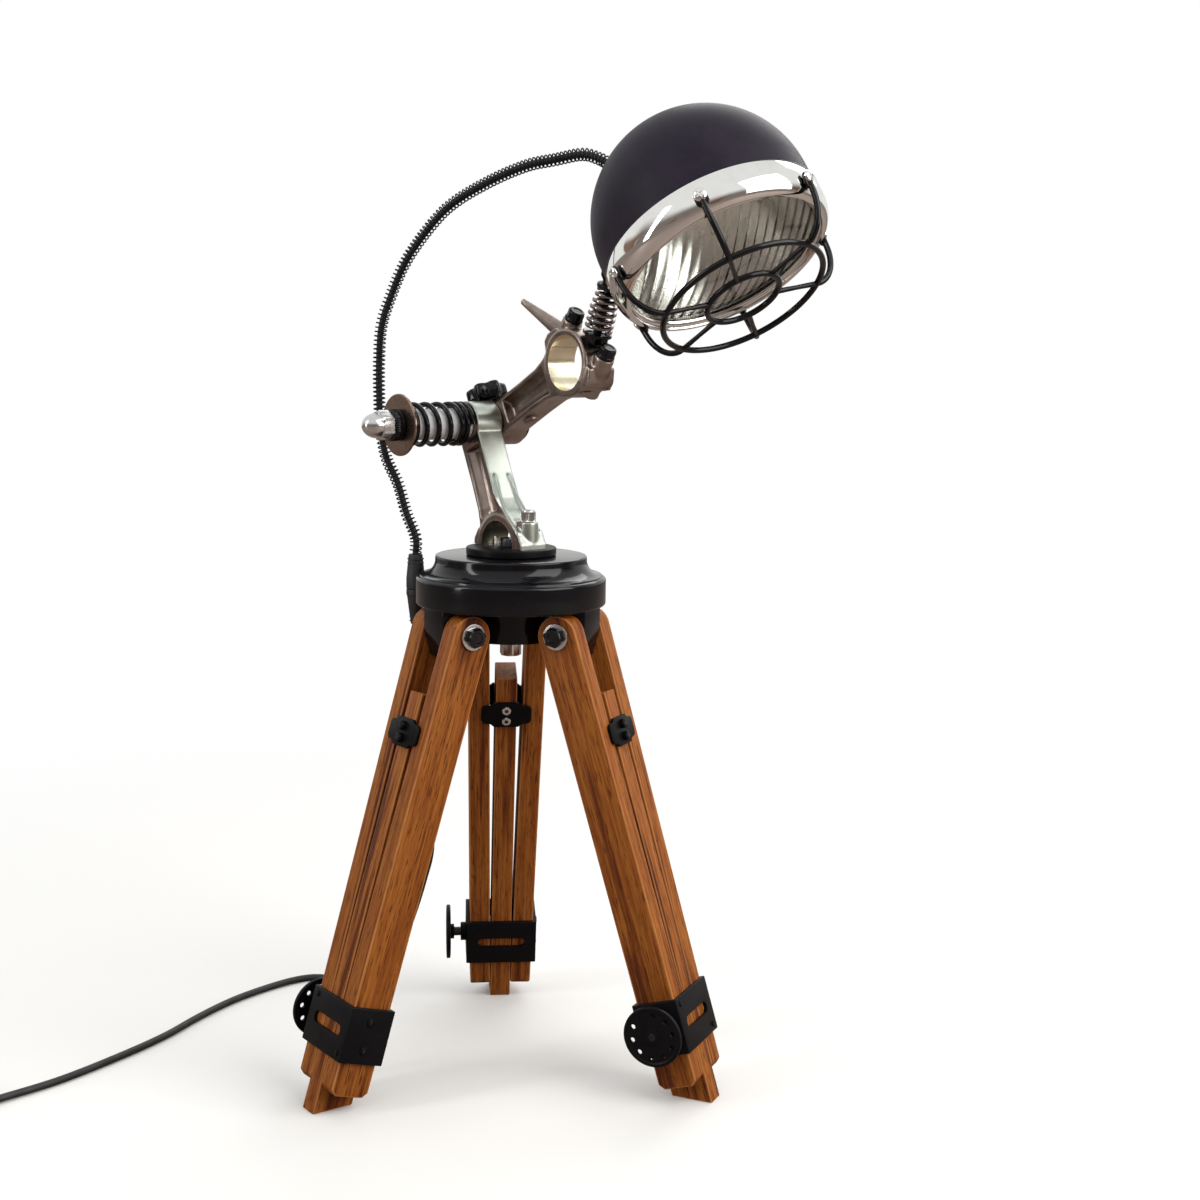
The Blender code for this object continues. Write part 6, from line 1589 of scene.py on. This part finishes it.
def makeBulb(spec, base):
    radius, top, narrow = spec["radius"], base + spec["length"], spec["base"]
    profile = [(0, top)]
    for angle in np.radians(np.linspace(75, -35, 12)):
        profile.append((radius * math.cos(angle), top - radius * (1 - math.sin(angle))))
    profile += [(narrow, base + spec["neck"]), (narrow, base + spec["neckEnd"]), (0, base + spec["glassEnd"])]
    top = base + spec["cap"]
    cap = lathe([(0, top), (narrow, top), (narrow, base), (0, base)], 48)
    filament = sweep([(x, y, base + z) for x, y, z in spec["filament"]], spec["wire"], 6)
    parts = [(lathe(profile, 64), bulbGlass), (cap, zinc), (filament, zinc)]
    finePiece("lampBulb", parts, lamp, "lamp_head", ["bulb"])


grilleSpec = {
    "forward": 0.0504, "radius": 0.0571, "inner": 0.0257, "wire": 0.0021, "spoke": 0.0017, "waist": 0.9,
    "swell": 1.1, "arm": 0.0021, "phase": -12.0, "spokes": 6, "tabForward": 0.0150,
    "tab": (0.0020, 0.0090, 0.0120), "screw": (0.0044, 0.0026), "screwDrop": 0.0020,
    "cross": (1.15, 0.26, 0.0014), "crossTurn": 20,
}


def crossScrew(spec):
    # A pan head with a cross recess.
    (radius, height), (long, wide, deep), turnBy = spec["screw"], spec["cross"], spec["crossTurn"]
    dome = [(radius * math.cos(a), height * (0.25 + 0.75 * math.sin(a))) for a in np.linspace(0, 1.45, 8)]
    head = lathe([(0, 0), (radius, 0)] + dome + [(0, height)], 48)
    bar = slab(radius * long, radius * wide, deep)
    bars = [moved(bar, swing(angle, "Z") @ shift(0, 0, height)) for angle in (turnBy, turnBy + 90)]
    return shaped(head, bars)


def tabOutline(wide, long):
    # Narrowed to both ends, with a blunt point at the lower one.
    half, end = wide / 2, long / 2
    right = [(half - 0.0012, 0.0008 - end), (half, 0.003 - end), (half, end - 0.003), (0.0022, end)]
    return [(0, -end)] + right + [(-x, z) for x, z in reversed(right)]


def makeGrille(spec):
    level, outer, inner = spec["forward"], spec["radius"], spec["inner"]
    parts = [(ring(outer, spec["wire"], level, 144, 16), gloss)]
    parts.append((ring(inner, spec["wire"], level, 96, 14), gloss))
    # Each tab lies flat on the curve of the trim ring, and its spoke bends back to it.
    rise, lip = ringSpec["forward"] - ringSpec["straight"], ringSpec["outer"] - ringSpec["mouth"]
    turnAt = math.asin((spec["tabForward"] - ringSpec["straight"]) / rise)
    lean = math.atan2(lip * math.sin(turnAt), rise * math.cos(turnAt))
    outwards = Vector((math.cos(lean), 0, math.sin(lean)))
    alongTab = Vector((-outwards.z, 0, outwards.x))
    thick, wide, long = spec["tab"]
    seat = Vector((ringSpec["mouth"] + lip * math.cos(turnAt), 0, spec["tabForward"]))
    tabCentre = seat + outwards * (2 * gap + thick / 2)
    armTop = tabCentre + alongTab * long * 0.3 + outwards * spec["spoke"] * 0.5
    arm = [(outer, 0, level)]
    for angle in np.radians(np.linspace(80, 4, 12)):
        arm.append((outer + (armTop.x - outer) * math.cos(angle), 0,
                    armTop.z + (level - armTop.z) * math.sin(angle)))
    arm.append(tuple(armTop - alongTab * 0.002))
    tab = moved(prism(tabOutline(wide, long), thick, 0.0005, 2), swing(90, "Z"))
    screw, swell = crossScrew(spec), spec["spoke"] * spec["swell"]
    bar = sweep([(x, 0, level) for x in (inner, (inner + outer) / 2, outer)],
                [swell, spec["spoke"] * spec["waist"], swell], 14)
    for i in range(spec["spokes"]):
        place = swing(spec["phase"] + 180 + 360 / spec["spokes"] * i, "Z")
        tabPlace = place @ Matrix.Translation(tabCentre) @ swing(-math.degrees(lean), "Y")
        screwPlace = tabPlace @ shift(thick / 2, 0, -spec["screwDrop"]) @ swing(90, "Y")
        parts += [(bar, gloss, place), (sweep(arm, spec["arm"], 14), gloss, place), (tab, gloss, tabPlace),
                  (screw, chrome, screwPlace)]
    finePiece("wireGrille", parts, lamp, "lamp_head", ["grille"], sharp=45.0)


makeShell(shellSpec)
makeTrimRing(ringSpec)
makeLens(lensSpec)
bulbBase = makeReflector(reflectorSpec)
makeBulb(bulbSpec, bulbBase)
makeGrille(grilleSpec)
print("lamp made")


# Floor, soft lights and a surround. The camera sees white beyond the floor, and the room's tones show
# only in reflections.
studio = {
    "overhead": (0.84, 0.85, 0.84),
    "room": (0.20, 0.17, 0.155),
    "window": (0.86, 0.87, 0.85),
    "underside": (0.22, 0.16, 0.13),
    "furniture": (0.16, 0.075, 0.035),
    "floor": (0.80, 0.79, 0.775),
    "bounce": (0.22, 0.17, 0.145),
    "white": (1.0, 1.0, 1.0),
    "whiteFrom": (0.45, 1.30),
    "floorRadius": 12,
    "aim": (0, 0, 0.4),
    "lamps": (
        ("key", (1.7, -1.15, 1.6), (1.9, 2.3), 54.0, (1.0, 0.98, 0.95)),
        ("left", (-1.8, -0.7, 1.1), (0.30, 1.7), 13.0, (0.98, 0.99, 1.0)),
        ("back", (0.8, 1.5, 1.7), (1.4, 1.0), 10.0, (1.0, 0.99, 0.97)),
    ),
}


def makeFloor(spec):
    # Seen directly, the floor fades to white with the distance. Its bounced light is darker and warmer.
    paint = Finish("paleFloor")
    far = paint.node("ShaderNodeVectorMath", {"operation": "LENGTH"}, {0: paint.place()}, out="Value")
    far, seen = far.between(*spec["whiteFrom"]), paint.seen()
    shine = paint.node("ShaderNodeEmission", {}, {"Color": spec["white"], "Strength": 1.0})
    paint.wear(Base_Color=paint.mix(seen, spec["bounce"], spec["floor"]), Roughness=0.7)
    plain = Signal(paint, paint.shader.outputs[0])
    blend = paint.node("ShaderNodeMixShader", {}, {0: far * seen, 1: plain, 2: shine})
    paint.feed(paint.tree.nodes["Material Output"].inputs["Surface"], blend)
    shape = bmesh.new()
    bmesh.ops.create_circle(shape, cap_ends=True, radius=spec["floorRadius"], segments=96)
    mesh = bpy.data.meshes.new("floor")
    shape.to_mesh(mesh)
    shape.free()
    mesh.materials.append(paint.material)
    linked("floor", mesh)


def makeSurround(spec):
    world = bpy.data.worlds.new("surround")
    bpy.context.scene.world = world
    world.use_nodes = True
    sky = Paint(world.node_tree)
    across = sky.place("Generated")
    height = sky.node("ShaderNodeSeparateXYZ", {}, {0: across}, out="Z")
    depth = sky.node("ShaderNodeSeparateXYZ", {}, {0: across}, out="Y")
    tone = sky.mix(depth.between(0.0, 0.35), spec["room"], spec["window"])
    tone = sky.mix(height.between(-0.20, 0.0), spec["underside"], tone)
    band = height.between(-0.30, -0.05) * (1.0 - height.between(0.10, 0.25))
    shapes = sky.noise(across, 1.9, 1.0).between(0.53, 0.57)
    tone = sky.mix(band * shapes * 0.9, tone, spec["furniture"])
    tone = sky.mix(height.between(0.16, 0.50), tone, spec["overhead"])
    background = world.node_tree.nodes["Background"]
    sky.feed(background.inputs["Color"], sky.mix(sky.seen(), tone, spec["white"]))
    background.inputs["Strength"].default_value = 1.0


def makeLights(spec):
    for name, where, size, power, colour in spec["lamps"]:
        data = bpy.data.lights.new(name, "AREA")
        data.shape = "RECTANGLE"
        data.size, data.size_y = size
        data.energy = power
        data.color = colour
        turnBy = (Vector(spec["aim"]) - Vector(where)).to_track_quat("-Z", "Y").to_matrix().to_4x4()
        linked(name, data).matrix_world = Matrix.Translation(where) @ turnBy


makeFloor(studio)
makeSurround(studio)
makeLights(studio)
bpy.context.scene.view_settings.view_transform = "Standard"
print("studio made")
